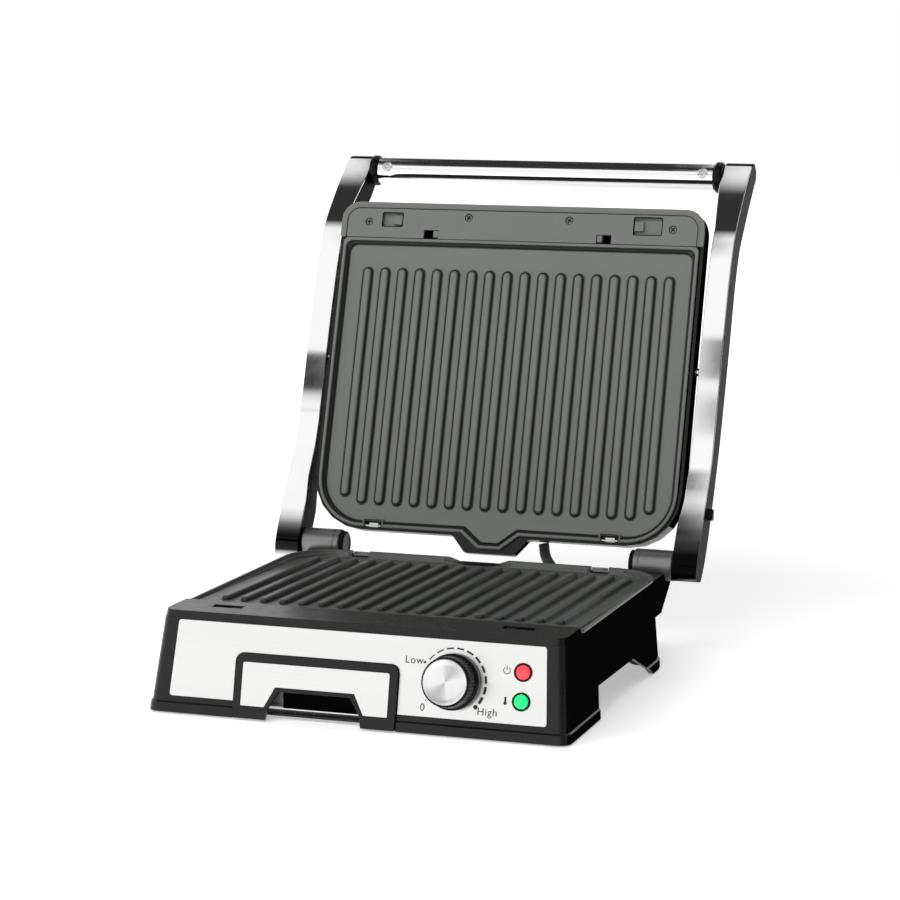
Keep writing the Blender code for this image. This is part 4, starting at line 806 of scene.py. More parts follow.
# the turn as u, unwound inside each face, and the radius as v
starts = np.zeros(len(cap.data.polygons), np.int32)
totals = np.zeros(len(cap.data.polygons), np.int32)
cap.data.polygons.foreach_get("loop_start", starts)
cap.data.polygons.foreach_get("loop_total", totals)
first = np.repeat(angle[starts], totals)
angle = first + (angle - first + np.pi) % (2 * np.pi) - np.pi
radius = np.hypot(east, north)
round_map.data.foreach_set("uv", np.stack([angle / (2 * np.pi), radius / CAP_R], -1).ravel())
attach(cap, "knob")
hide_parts("knob_cap")

bright_steel = mottled(
    "bright_steel", (0.82, 0.82, 0.81), (0.68, 0.68, 0.67), 0.16, 0.30, 60.0, 1500.0, 0.00001,
    metallic=1.0,
)
dressed("knob_spindle", "knob_shaft", bright_steel, 0.0)

# ------------------------------------------------------------------ pilot lamps
# Two domed lenses of coloured polycarbonate, lit from behind, each in a black
# snap-in ring.
LAMPS = {                       # height up the front, unlit and lit colour, slot
    "power": (0.0488, (0.90, 0.035, 0.045), (1.0, 0.045, 0.060), "red_lens"),
    "ready": (0.0287, (0.0, 0.62, 0.14), (0.0, 0.95, 0.20), "green_lens"),
}
LAMP_X = 0.1206
LENS_R = 0.0050
# a collar's closed section: up the outside, over a rounded lip, down the bore
COLLAR_SECTION = np.array([
    (0.0002, 0.0060), (0.0002, 0.0063), (0.0005, 0.0065), (0.0010, 0.0064), (0.0013, 0.0060),
    (0.0013, 0.0056), (0.0010, 0.0053), (-0.0050, 0.00525), (-0.0050, 0.0058), (0.0002, 0.0058),
])


def hoop_body(name, rings, material, smooth_angle=35):
    """Closed body through rings of equally many points, the last ring joined to the first."""
    rows, columns = rings.shape[:2]
    faces = (np.array(grid_faces(rows + 1, columns)) % (rows * columns)).tolist()
    return mesh_object(name, rings, faces, material, smooth_angle)


for lamp, (s, tint, glow, slot_name) in LAMPS.items():
    lens_material, tree, shader = new_material(slot_name + "_lit")
    place = node(tree, "ShaderNodeTexCoord")
    clouds = node(tree, "ShaderNodeTexNoise", {"Scale": 420.0, "Detail": 2.0})
    tone = tones(tree, tint, glow)
    gloss = node(tree, "ShaderNodeMapRange", {"To Min": 0.08, "To Max": 0.2})
    link = tree.links.new
    link(place.outputs["Object"], clouds.inputs["Vector"])
    link(clouds.outputs["Fac"], tone.inputs[0])
    link(clouds.outputs["Fac"], gloss.inputs["Value"])
    link(tone.outputs[2], shader.inputs["Emission Color"])
    surface(tree, shader, tone.outputs[2], gloss.outputs["Result"], clouds.outputs["Fac"], 0.2, 0.00005)
    shader.inputs["Emission Strength"].default_value = 0.62
    shader.inputs["Coat Weight"].default_value = 0.3
    dome = np.linspace(0, 1, 9)
    heights = np.concatenate([[-0.0060, 0.0004], 0.0008 + 0.0011 * np.sin(dome * np.pi / 2)])
    radii = np.concatenate([[LENS_R, LENS_R], LENS_R * np.cos(dome * np.pi / 2 * 0.985)])
    lens = ring_body(
        "lens_" + lamp, turned_on_front(LAMP_X, s, heights, radii, 48), lens_material, 50
    )
    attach(lens, "base")
    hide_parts("lamp_lens_" + lamp)
    rings = turned_on_front(LAMP_X, s, COLLAR_SECTION[:, 0], COLLAR_SECTION[:, 1], 64)
    ring = hoop_body("lamp_collar_" + lamp, rings, knob_black, 50)
    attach(ring, "base")
    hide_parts("lamp_ring_" + lamp)

# ------------------------------------------------------------------ grill plates
# Two die-cast aluminium plates with a grey non-stick coating: a rim, a fat
# channel, a bead round the field and eighteen rounded ribs. Spring clips hold
# their hinge side, so they lift off.
LID_LEAN = math.radians(17.1)
HINGE_Y = 0.0778
HINGE_Z = 0.0711
PLATE_HALF = 0.1500
LOWER_DEPTH = 0.2350            # from the hinge-side rim to the front one
UPPER_DEPTH = 0.2395
RIM_Z = 0.0704
REAR_Y = 0.0600
LID_RIM_A = 0.0160
LID_FACE_B = -0.0019
REAR_R = 0.040
FRONT_R = 0.0040
FRONT_R_GROWS = 0.0035          # over the border's width
BORDER_WIDE = 0.0062
SPOUT_HALF = 0.0245
SPOUT_TIP = 0.0095
SPOUT_REACH = 0.0120
CLIP_X = 0.0989
CLIP_HALF = 0.0070
CLIP_STEP = 0.0002              # run of the step down into a clip notch
CLIP_FLOOR = -0.0046
REAR_BAND = 0.012               # depth of the hinge-side border
SKIRT_ROWS = 4                  # rows of the rim profile that are the plate's outer skirt
GROOVE_INSET = 0.0050
BEAD_INSET = 0.0056
SPOUT_INSET = 0.0090            # the profile follows the spout as far in as this
SPOUT_DROP = 0.0052             # the lower rim's dip under the other plate's spout
SPOUT_SHALLOW = 0.0032          # the upper field's rise inside the spout, and where it starts
SHALLOW_FROM = 0.0125
SHALLOW_RUN = 0.010
FIELD = -0.0056
FIELD_CLIMB = 0.0042            # of the lower plate's field, from the hinge side to the front
RIB_COUNT = 18
RIB_PITCH = 0.0150
RIB_HALF = 0.0037
RIB_START = 0.0192
RIB_END = 0.2147
OUTER_RIB_SHORTER = 0.0055
LOWER_PAINTED_SHADE_SHARE = 0.12              # share of the groove's painted shade that the lower plate shows
RIM_PROFILE = (                 # drawn in from the edge, height over the rim plane, painted shade
    (0.0054, -0.0108, 0.0), (0.0050, -0.0100, 0.0), (0.0048, -0.0034, 0.0), (0.0012, -0.0030, 0.0),
    (0.0002, -0.0026, 0.0), (0.0000, -0.0020, 0.0), (0.0000, -0.0008, 0.0), (0.0003, -0.0002, 0.0),
    (0.0008, 0.0000, 0.0), (0.0019, 0.0000, 0.0), (0.0024, -0.0003, 0.1), (0.0027, -0.0010, 0.7),
    (0.0030, -0.0022, 1.0), (0.0034, -0.0026, 1.0), (0.0044, -0.0027, 1.0), (0.0048, -0.0032, 1.0),
    (0.0051, -0.0050, 0.9), (0.0054, -0.0054, 0.5), (0.0058, -0.0053, 0.0), (0.0064, -0.0052, 0.0),
    (0.0074, -0.0055, 0.0), (0.0086, -0.0056, 0.0), (0.0120, -0.0056, 0.0),
)
RIB_PROFILE = (                 # outside the rib's edge, height over the field, painted shade
    (0.0019, -0.00030, 0.0), (0.0019, 0.00001, 0.0), (0.0014, 0.00002, 0.35), (0.0009, 0.00003, 0.92),
    (0.0004, 0.00006, 1.0), (0.0000, 0.00030, 1.0), (-0.0003, 0.00110, 0.9), (-0.0007, 0.00210, 0.55),
    (-0.0011, 0.00275, 0.25), (-0.0016, 0.00305, 0.06), (-0.0023, 0.00320, 0.0), (-0.0034, 0.00324, 0.0),
)


def on_lid(points):
    """Points given as x, distance up the open lid from the hinge and distance towards the food."""
    points = np.asarray(points, float)
    x, a, b = points[..., 0], points[..., 1], points[..., 2]
    return np.stack([
        x,
        HINGE_Y + a * math.sin(LID_LEAN) - b * math.cos(LID_LEAN),
        HINGE_Z + a * math.cos(LID_LEAN) + b * math.sin(LID_LEAN),
    ], -1)


def on_upper(points):
    """Plate points, x, distance from the hinge-side rim and height over the rim, on the lid."""
    return on_lid(np.asarray(points, float) + (0, LID_RIM_A, LID_FACE_B))


def on_lower(points):
    """Plate points on the base, their rim level."""
    points = np.asarray(points, float)
    return np.stack([-points[..., 0], REAR_Y - points[..., 1], RIM_Z + points[..., 2]], -1)


def rounded_outline(corners, steps):
    """Closed outline whose corners (x, y, radius) become arcs: start and end spokes of the arc, blended
    so that they stay on the circle; a corner of no radius stays one point."""
    corners = np.asarray(corners, float)
    points = []
    for number, (x, y, r) in enumerate(corners):
        here = np.array([x, y])
        if r <= 0:
            points.append(here[None])
            continue
        before = corners[number - 1, :2] - here
        after = corners[(number + 1) % len(corners), :2] - here
        before /= np.linalg.norm(before)
        after /= np.linalg.norm(after)
        half = math.acos(float(np.clip(before @ after, -1, 1))) / 2
        middle = before + after
        centre = here + middle / np.linalg.norm(middle) * r / math.sin(half)
        start = here + before * r / math.tan(half) - centre
        end = here + after * r / math.tan(half) - centre
        sweep = math.pi - 2 * half
        share = np.linspace(0, 1, steps + 1)[:, None]
        spokes = start * np.sin((1 - share) * sweep) + end * np.sin(share * sweep)
        points.append(centre + spokes / math.sin(sweep))
    return np.concatenate(points)


def plate_rings(depth, spout):
    """The rim profile carried round the plate outline, lowered at the clip notches and, on the lower
    plate, where the other plate's spout drops in; the lower field climbs evenly to the front, and the
    upper one rises towards the rim inside the spout."""
    rings = []
    near, far = CLIP_HALF - CLIP_X, -CLIP_HALF - CLIP_X
    clip_stops = [far - CLIP_STEP, far, near, near + CLIP_STEP]
    for row_number, (inset, height, _) in enumerate(RIM_PROFILE):
        side = PLATE_HALF - inset
        front_r = FRONT_R + FRONT_R_GROWS * min(inset / BORDER_WIDE, 1.0)
        corners = [(-side, inset, REAR_R - inset)]
        corners += [(x, inset, 0) for x in clip_stops]
        if spout:
            reach = inset - SPOUT_REACH if inset < SPOUT_INSET else inset
            corners += [
                (-SPOUT_HALF + inset / 2, inset, 0), (-SPOUT_TIP + inset / 2, reach, 0),
                (SPOUT_TIP - inset / 2, reach, 0), (SPOUT_HALF - inset / 2, inset, 0),
            ]
        else:
            corners += [(x, inset, 0) for x in (-SPOUT_HALF, -SPOUT_TIP, SPOUT_TIP, SPOUT_HALF)]
        corners += [(-x, inset, 0) for x in clip_stops[::-1]]
        corners += [
            (side, inset, REAR_R - inset),
            (side, depth - inset, front_r),
            (-side, depth - inset, front_r),
        ]
        line = rounded_outline(corners, 12)
        level = np.full(len(line), height)
        at_rear = (line[:, 1] < REAR_BAND) & (inset < BEAD_INSET)
        clip = at_rear & (np.abs(np.abs(line[:, 0]) - CLIP_X) < CLIP_HALF + CLIP_STEP / 2)
        level[clip] = np.minimum(level[clip], CLIP_FLOOR)
        in_field = row_number >= SKIRT_ROWS and inset > GROOVE_INSET
        if not spout:
            drop = SPOUT_DROP * np.clip(
                (SPOUT_HALF - np.abs(line[:, 0])) / (SPOUT_HALF - SPOUT_TIP), 0, 1
            )
            level = np.where(at_rear, np.minimum(level, -drop), level)
            level = level + in_field * FIELD_CLIMB * np.clip(line[:, 1] / depth, 0, 1)
        else:
            in_spout = in_field & (np.abs(line[:, 0]) < SPOUT_HALF)
            shallow = SPOUT_SHALLOW * np.clip((SHALLOW_FROM - line[:, 1]) / SHALLOW_RUN, 0, 1)
            level = np.where(in_spout, level + shallow, level)
        rings.append(np.column_stack([line, level]))
    return np.array(rings)


def rib_rings(x, start, end):
    """Stadium rings, two half circles joined by straights, drawn in and raised by the rib profile, with its
    painted shade for each ring.
    """
    turn = np.linspace(0, np.pi, 13)
    rings, painted_shade_rows = [], []
    for out, height, dark in RIB_PROFILE:
        r = RIB_HALF + out
        low = np.stack([x - r * np.cos(turn), start + RIB_HALF - r * np.sin(turn)], -1)
        high = np.stack([x + r * np.cos(turn), end - RIB_HALF + r * np.sin(turn)], -1)
        line = np.concatenate([low, high])
        rings.append(np.column_stack([line, np.full(len(line), FIELD + height)]))
        painted_shade_rows.append(np.full(len(line), dark))
    return np.array(rings), np.array(painted_shade_rows)


def coating_material(name, light, dark, glint):
    """Sprayed non-stick coat: an orange-peel skin, fine mineral specks, and painted shade where
    painted_darkness says, such as darker feet at the ribs.
    """
    made, tree, shader = new_material(name)
    place = node(tree, "ShaderNodeTexCoord")
    drift = node(tree, "ShaderNodeTexNoise", {"Scale": 9.0, "Detail": 4.0, "Roughness": 0.6})
    peel = node(tree, "ShaderNodeTexNoise", {"Scale": 1100.0, "Detail": 2.0})
    specks = node(tree, "ShaderNodeTexVoronoi", {"Scale": 900.0})
    speck_mask = node(tree, "ShaderNodeMapRange", {
        "From Min": 0.10, "From Max": 0.22, "To Min": 0.35, "To Max": 0.0,
    })
    painted_dark_node = node(tree, "ShaderNodeAttribute", attribute_name="painted_darkness")
    tone = tones(tree, dark, light)
    speckled = node(tree, "ShaderNodeMix", data_type="RGBA")
    speckled.inputs[7].default_value = (*[min(1.0, c * 1.9) for c in light], 1)
    with_painted_shade = node(tree, "ShaderNodeMix", data_type="RGBA")
    with_painted_shade.inputs[7].default_value = (0.008, 0.008, 0.008, 1)
    gloss = node(tree, "ShaderNodeMapRange", {
        "From Min": 0.3, "From Max": 0.7, "To Min": glint, "To Max": glint + 0.12,
    })
    link = tree.links.new
    for texture in (drift, peel, specks):
        link(place.outputs["Object"], texture.inputs["Vector"])
    link(drift.outputs["Fac"], tone.inputs[0])
    link(specks.outputs["Distance"], speck_mask.inputs["Value"])
    link(speck_mask.outputs["Result"], speckled.inputs[0])
    link(tone.outputs[2], speckled.inputs[6])
    link(painted_dark_node.outputs["Fac"], with_painted_shade.inputs[0])
    link(speckled.outputs[2], with_painted_shade.inputs[6])
    link(drift.outputs["Fac"], gloss.inputs["Value"])
    surface(tree, shader, with_painted_shade.outputs[2], gloss.outputs["Result"], peel.outputs["Fac"], 0.5, 0.00003)
    shader.inputs["Specular IOR Level"].default_value = 0.4
    return made


def paint_darkness(mesh, shade):
    """Write how dark each vertex is painted, for the materials that read painted_darkness: painted shade and
    painted reflection.
    """
    written = mesh.attributes.new("painted_darkness", "FLOAT", "POINT")
    written.data.foreach_set("value", shade.astype(np.float32))


coating = coating_material("grey_non_stick", (0.165, 0.173, 0.160), (0.140, 0.147, 0.135), 0.42)
# painted shade: the lower plate takes a darker copy of the same non-stick coat
lower_coating_painted_shade = coating_material("grey_non_stick_lower_painted_shade", (0.095, 0.101, 0.094), (0.070, 0.075, 0.070), 0.30)
for plate, depth, put, spout, coat in (
    ("lower_plate", LOWER_DEPTH, on_lower, False, lower_coating_painted_shade),
    ("upper_plate", UPPER_DEPTH, on_upper, True, coating),
):
    body = plate_rings(depth, spout)
    rows, columns = body.shape[:2]
    points = [put(body).reshape(-1, 3)]
    # the upper plate's groove is painted darker: painted shade in the recess
    groove_painted_shade = np.array(RIM_PROFILE)[:, 2] * (1.0 if spout else LOWER_PAINTED_SHADE_SHARE)
    shade = [np.repeat(groove_painted_shade, columns)]
    faces = capped_faces(rows, columns)
    count = rows * columns
    for number in range(RIB_COUNT):
        x = (number - (RIB_COUNT - 1) / 2) * RIB_PITCH
        outer = number in (0, RIB_COUNT - 1)
        rib, dark = rib_rings(x, RIB_START + (OUTER_RIB_SHORTER if outer else 0), RIB_END)
        if not spout:
            rib[..., 2] += FIELD_CLIMB * rib[..., 1] / depth
        points.append(put(rib).reshape(-1, 3))
        shade.append(dark.ravel())
        faces += capped_faces(*rib.shape[:2], count)
        count += dark.size
    mesh = bpy.data.meshes.new(plate + "_casting")
    mesh.from_pydata(np.concatenate(points).tolist(), [], faces)
    paint_darkness(mesh, np.concatenate(shade))
    shape = bmesh.new()
    shape.from_mesh(mesh)
    bmesh.ops.recalc_face_normals(shape, faces=shape.faces)
    shape.to_mesh(mesh)
    shape.free()
    mesh.materials.append(coat)
    mesh.shade_smooth()
    mesh.set_sharp_from_angle(angle=math.radians(48))
    casting = bpy.data.objects.new(plate + "_casting", mesh)
    bpy.context.scene.collection.objects.link(casting)
    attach(casting, plate)
    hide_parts(plate)

for source in ("lower_clip_left", "lower_clip_right", "upper_clip_left", "upper_clip_right"):
    dressed(source + "_spring", source, bright_steel, 0.0003)


def carried(name, path, profile, put, material, closed):
    """A small section carried along a flat path: at each point the section's width lies across the path's
    own direction and its height stands off the surface."""
    path = np.asarray(path, float)
    if closed:
        ahead = np.roll(path, -1, 0) - np.roll(path, 1, 0)
    else:
        ahead = np.gradient(path, axis=0)
    ahead /= np.linalg.norm(ahead, axis=1)[:, None]
    side = np.stack([ahead[:, 1], -ahead[:, 0]], -1)
    profile = np.asarray(profile, float)
    rings = np.concatenate([
        path[:, None, :] + side[:, None, :] * profile[None, :, :1],
        np.broadcast_to(profile[None, :, 1:2], (len(path), len(profile), 1)),
    ], -1)
    body = hoop_body if closed else ring_body
    return body(name, put(rings), material)


# painted light: the lower rear wall's face, in the paler upper coat as if lit, in two lengths beside each
# notch
WALL_LENGTHS = (("long", 0.0275, 0.0895), ("short", 0.1083, 0.1190))
for side, sign in (("left", 1), ("right", -1)):
    for part, near, far in WALL_LENGTHS:
        face = oblong(near, far, 0.0053, 0.0057) * (sign, 1)
        wall = slab(f"lower_rear_wall_{part}_{side}", face, -0.0050, -0.0003, coating, on_lower)
        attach(wall, "lower_plate")

# a raised frame round each notch of the upper plate, cast with it, and the clip's tongue in the notch
NOTCH_FRAME = np.array([
    (-0.0082, 0.0012), (-0.0082, 0.0040), (-0.0080, 0.0058), (-0.0072, 0.0064), (0.0, 0.0065),
    (0.0072, 0.0064), (0.0080, 0.0058), (0.0082, 0.0040), (0.0082, 0.0012),
])
FRAME_SECTION = [
    (-0.0007, -0.0030), (-0.0006, 0.0006), (-0.0003, 0.0010), (0.0003, 0.0010), (0.0006, 0.0006),
    (0.0007, -0.0030),
]
for side, sign in (("left", -1), ("right", 1)):
    middle = (sign * CLIP_X, 0.0)
    bracket = carried(
        f"upper_plate_clip_frame_{side}", NOTCH_FRAME + middle, FRAME_SECTION, on_upper, coating, False
    )
    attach(bracket, "upper_plate")
    tab = oblong(-0.0037, 0.0037, 0.0, 0.0034) + middle
    tongue = slab(f"upper_plate_clip_tongue_{side}", tab, -0.0032, -0.0022, bright_steel, on_upper)
    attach(tongue, "upper_plate")

# ------------------------------------------------------------------ lid
# A black moulded housing behind the upper plate, with a brushed steel cover on
# its back and a grey coated strip above the plate, held by four screws.
dressed("lid_moulding", "lid_housing", shell_black, 0.0009, flanks=painted_shade_black)
dressed("lid_back_sheet", "lid_cover", panel_steel, 0.0004)
dressed("lid_strip_plate", "lid_strip", coating, 0.0005)

STRIP_LOW_A = 0.2560
LID_HALF = 0.1532
LID_TOP_A = 0.2854
LID_TOP_R = 0.0150
STRIP_INSET = 0.0040
GROOVE_IN = 0.0012              # from the bead to the groove on its inner side
BEAD_SECTION = [
    (-0.0007, -0.0010), (-0.0006, 0.0002), (-0.0003, 0.0005), (0.0003, 0.0005), (0.0006, 0.0002),
    (0.0007, -0.0010),
]
GROOVE_SECTION = [(-0.0004, -0.0004), (-0.0003, 0.00005), (0.0003, 0.00005), (0.0004, -0.0004)]


def on_strip(points):
    """Points given as x, distance up the lid and height over the strip's face."""
    return on_lid(points + (0, 0, LID_FACE_B))


# a bead up one end of the strip, along its top and down the other end, and beside it a thin dark line that
# paints the shade of a groove
side = LID_HALF - STRIP_INSET
top = LID_TOP_A - STRIP_INSET
low_end = STRIP_LOW_A + 0.0004
arcs = rounded_outline([
    (-side, low_end, 0), (side, low_end, 0),
    (side, top, LID_TOP_R - STRIP_INSET), (-side, top, LID_TOP_R - STRIP_INSET),
], 12)
bead_path = np.concatenate([arcs[1:], arcs[:1]])
groove_path = bead_path * ((side - GROOVE_IN) / side, 1) - (0, GROOVE_IN)
bead = carried("strip_inner_bead", bead_path, BEAD_SECTION, on_strip, coating, False)
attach(bead, "lid")
groove = carried("strip_inner_groove_painted_shade", groove_path, GROOVE_SECTION, on_strip, painted_shade_black, False)
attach(groove, "lid")


def screw_head(name, middle, out, along, r, crown, material):
    """Domed head with a cross recess: height is a crown that falls with the square of the radius, less a
    cross whose four arms taper off, over a polar grid."""
    share = np.concatenate([np.linspace(0.02, 1, 15), [1.0]])[:, None]
    turn = np.linspace(0, 2 * np.pi, 64, endpoint=False)[None, :]
    u, v = share * np.cos(turn), share * np.sin(turn)
    arm = np.minimum(np.abs(u), np.abs(v))
    reach = np.maximum(np.abs(u), np.abs(v))
    cross = np.clip((0.17 - arm) / 0.06, 0, 1) * np.clip((0.66 - reach) / 0.14, 0, 1)
    height = crown * (1 - 0.75 * share ** 2) - crown * 0.9 * cross
    height[-1] = -crown
    out, along = np.asarray(out, float), np.asarray(along, float)
    third = np.cross(out, along)
    rings = (
        np.asarray(middle, float) + r * u[..., None] * along + r * v[..., None] * third
        + height[..., None] * out
    )
    return ring_body(name, rings, material, 40)


SCREW_R = 0.0031
SCREW_PROUD = 0.0035            # of the screw's middle, from which the painted shade is measured
lid_out = on_lid((0, 0, 1)) - on_lid((0, 0, 0))
lid_up = on_lid((0, 1, 0)) - on_lid((0, 0, 0))
for number, twist in enumerate((0.1, 0.6, 0.5, 0.75), 1):
    low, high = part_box(f"strip_screw_{number}")
    middle = np.array((low + high) / 2) + lid_out * SCREW_PROUD
    along = math.cos(twist) * lid_up + math.sin(twist) * np.array([1.0, 0, 0])
    screw = screw_head(
        f"strip_screw_head_{number}", middle - lid_out * 0.0006, lid_out, along, SCREW_R, 0.0008, coating
    )
    # painted shade: the cross recess and the rim are painted darker
    spot = (vertex_spots(screw) - middle) / SCREW_R
    u, v = spot @ along, spot @ np.cross(lid_out, along)
    arm, reach = np.minimum(np.abs(u), np.abs(v)), np.maximum(np.abs(u), np.abs(v))
    cross = np.clip((0.24 - arm) / 0.08, 0, 1) * np.clip((0.72 - reach) / 0.10, 0, 1)
    paint_darkness(screw.data, np.maximum(cross, np.clip((np.hypot(u, v) - 0.80) / 0.10, 0, 1)))
    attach(screw, "lid")
    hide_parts(f"strip_screw_{number}")

# ------------------------------------------------------------------ latches
# Sliding buttons that pull the tongues out of the plates' edges: grey behind
# the strip's two windows, each on a wider shutter, and black in the base's
# deck. The hinge lock's push button sits on the right arm.
for source in ("latch_upper_left", "latch_upper_right", "latch_lower_left", "latch_lower_right"):
    skin = coating if "upper" in source else shell_black
    dressed(source + "_slider", source, skin, 0.0003, segments=2)
dressed("hinge_lock_push", "hinge_lock_button", knob_black, 0.0004, segments=2)
# the windows' places across and up the lid, and their sizes
WINDOW_X = {"left": -0.1090, "right": 0.1070}
WINDOW_WIDE = {"left": 0.0172, "right": 0.0230}
WINDOW_TALL = {"left": 0.0112, "right": 0.0140}
WINDOW_A = 0.2708
SHUTTER_A = (0.2610, 0.2790)
SHUTTER_BACK = 0.0033           # behind the strip's face
SHUTTER_THICK = 0.0006
SHUTTER_WIDER = 0.0040          # at each end than its window
EDGE_OUT = 0.0003
for side, x in WINDOW_X.items():
    half, tall = WINDOW_WIDE[side] / 2, WINDOW_TALL[side] / 2
    shutter = slab(
        "window_shutter_" + side,
        oblong(x - half - SHUTTER_WIDER, x + half + SHUTTER_WIDER, *SHUTTER_A),
        -SHUTTER_BACK - SHUTTER_THICK, -SHUTTER_BACK, coating, on_strip,
    )
    half, tall = half + EDGE_OUT, tall + EDGE_OUT
    corners = oblong(x - half, x + half, WINDOW_A - tall, WINDOW_A + tall)
    outline = rounded_outline(np.column_stack([corners, np.full(4, 0.0012)]), 5)
    # painted shade: a thin dark line in the darker black round each window
    edge = carried("window_edge_painted_shade_" + side, outline, GROOVE_SECTION, on_strip, painted_shade_black, True)
    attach(edge, "lid")
    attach(shutter, frame["nodes"]["latch_upper_" + side]["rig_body"])

# ------------------------------------------------------------------ hinge
# Two satin dark metal barrels on saddles of the base, black ribbed end caps
# and a steel pin through each.


def turned_on_x(middle, places, radii, segments=72):
    """Rings round a level axis across the press: radius times the turning direction at each x."""
    turn = np.linspace(0, 2 * np.pi, segments, endpoint=False)[None, :]
    places = np.asarray(places, float)[:, None]
    radii = np.asarray(radii, float)[:, None]
    return np.stack([
        places + 0 * turn, middle[1] + radii * np.cos(turn), middle[2] + radii * np.sin(turn),
    ], -1)


barrel_metal = mottled(
    "barrel_gunmetal", (0.30, 0.305, 0.30), (0.26, 0.265, 0.26), 0.36, 0.42, 40.0, 1800.0, 0.000002,
    metallic=0.9, specular=0.5,
)
for side, sign in (("left", -1), ("right", 1)):
    low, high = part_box("hinge_barrel_" + side)
    middle = (low + high) / 2
    inner, outer = (high.x, low.x) if sign < 0 else (low.x, high.x)
    r = (high.z - low.z) / 2
    away = 1 if outer > inner else -1
    span = abs(outer - inner)
    # rounded ends, and a shallow groove near the inner one
    stations = [0.0, 0.0, 0.0004, 0.0010, 0.0040, 0.0044, 0.0050, 0.0054]
    stations += [span - 0.0010, span - 0.0004, span, span]
    radii = [r * 0.55, r - 0.0010, r - 0.0003, r, r, r - 0.0003, r - 0.0003, r]
    radii += [r, r - 0.0003, r - 0.0010, r * 0.55]
    rings = turned_on_x(middle, [inner + away * p for p in stations], radii)
    barrel = ring_body("barrel_" + side, rings, barrel_metal, 15)
    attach(barrel, "base")
    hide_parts("hinge_barrel_" + side)
    low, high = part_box("barrel_cap_" + side)
    near, far = (low.x, high.x) if sign < 0 else (high.x, low.x)
    thick = far - near
    r = (high.z - low.z) / 2
    shares = [0.0, 0.0, 0.15, 0.30, 0.45, 0.60, 0.75, 0.90, 1.0, 1.0, 0.86, 0.86]
    radii = [
        r * 0.5, r, r, r - 0.0006, r - 0.0006, r, r, r - 0.0005, r - 0.0012, r * 0.72, r * 0.68, r * 0.1,
    ]
    rings = turned_on_x(middle, [near + thick * share for share in shares], radii)
    end_cap = ring_body("barrel_end_" + side, rings, knob_black, 40)
    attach(end_cap, "base")
    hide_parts("barrel_cap_" + side)
    dressed("hinge_axle_" + side, "hinge_pin_" + side, bright_steel, 0.0003)
    dressed("float_axle_" + side, "float_pin_" + side, bright_steel, 0.0003)

# ------------------------------------------------------------------ arms
# Each arm is a black moulded core with a polished, chrome-plated strip along
# its front. It curves back at the top to carry the handle.
ARM_OUT = 0.1747
ARM_WIDE = 0.0177
ARM_WIDE_FOOT = 0.0200
ARM_WIDE_END = 0.0225
ARM_WIDE_AT = (0.030, 0.050, 0.270, 0.310)
# the arm's front and back as seen from the side: distance up the lid and towards the food
ARM_FOOT_LINE = [
    (-0.0130, 0.0140), (0.0000, 0.0155), (0.0200, 0.0115), (0.0400, 0.0055), (0.0600, 0.0005),
    (0.0800, -0.0050),
]
ARM_MIDDLE_LINE = {             # nearly flat, with a faint swell that sits a little higher on the right
    "left": [
        (0.1000, -0.0074), (0.1130, -0.0081), (0.1280, -0.00855), (0.1430, -0.0086),
        (0.1580, -0.00865), (0.1730, -0.0091), (0.2050, -0.0101), (0.2300, -0.0116),
    ],
    "right": [
        (0.1000, -0.0069), (0.1380, -0.0081), (0.1530, -0.00855), (0.1680, -0.0086),
        (0.1830, -0.00865), (0.1980, -0.0091), (0.2150, -0.0098), (0.2300, -0.0110),
    ],
}
ARM_TOP_LINE = [
    (0.2550, -0.0148), (0.2750, -0.0205), (0.2950, -0.0310), (0.3150, -0.0430), (0.3370, -0.0585),
]
ARM_BACK = np.array([
    (-0.0110, -0.0030), (0.0000, -0.0090), (0.0160, -0.0145), (0.0360, -0.0190), (0.0550, -0.0225),
    (0.0780, -0.0262), (0.1000, -0.0290), (0.1200, -0.0305), (0.1350, -0.0315), (0.1500, -0.0324),
    (0.1650, -0.0331), (0.1800, -0.0338), (0.2000, -0.0345), (0.2230, -0.0350), (0.2460, -0.0372),
    (0.2640, -0.0415), (0.2830, -0.0510), (0.3030, -0.0620), (0.3260, -0.0755),
])
CORE_TOP_FRONT = [(0.3405, -0.0615), (0.3422, -0.0665)]
CORE_TOP_BACK = [(0.3305, -0.0785), (0.3370, -0.0780)]
PAINTED_FOOT_REFLECTION = {                 # places up the arm and the painted reflection's darkness there
    "left": (
        (-0.012, -0.009, 0.003, 0.008, 0.013, 0.019, 0.026), (0.2, 0.98, 1.0, 0.96, 0.80, 0.30, 0.0),
    ),
    "right": (
        (-0.012, -0.011, 0.008, 0.018, 0.027, 0.038, 0.052), (0.8, 1.0, 1.0, 0.95, 0.80, 0.40, 0.0),
    ),
}
ARM_STEPS = 9
TRIM_THICK = 0.0015


def smooth_line(knots, steps):
    """Catmull-Rom curve through knots: the cubic of four neighbours, for whole spans at once."""
    knots = np.concatenate([[2 * knots[0] - knots[1]], knots, [2 * knots[-1] - knots[-2]]])
    a, b, c, d = knots[:-3, None], knots[1:-2, None], knots[2:-1, None], knots[3:, None]
    t = (np.arange(steps) / steps)[None, :, None]
    spans = 0.5 * (
        2 * b + (c - a) * t + (2 * a - 5 * b + 4 * c - d) * t ** 2 + (3 * b - a - 3 * c + d) * t ** 3
    )
    return np.concatenate([spans.reshape(-1, knots.shape[1]), knots[-2:-1]])


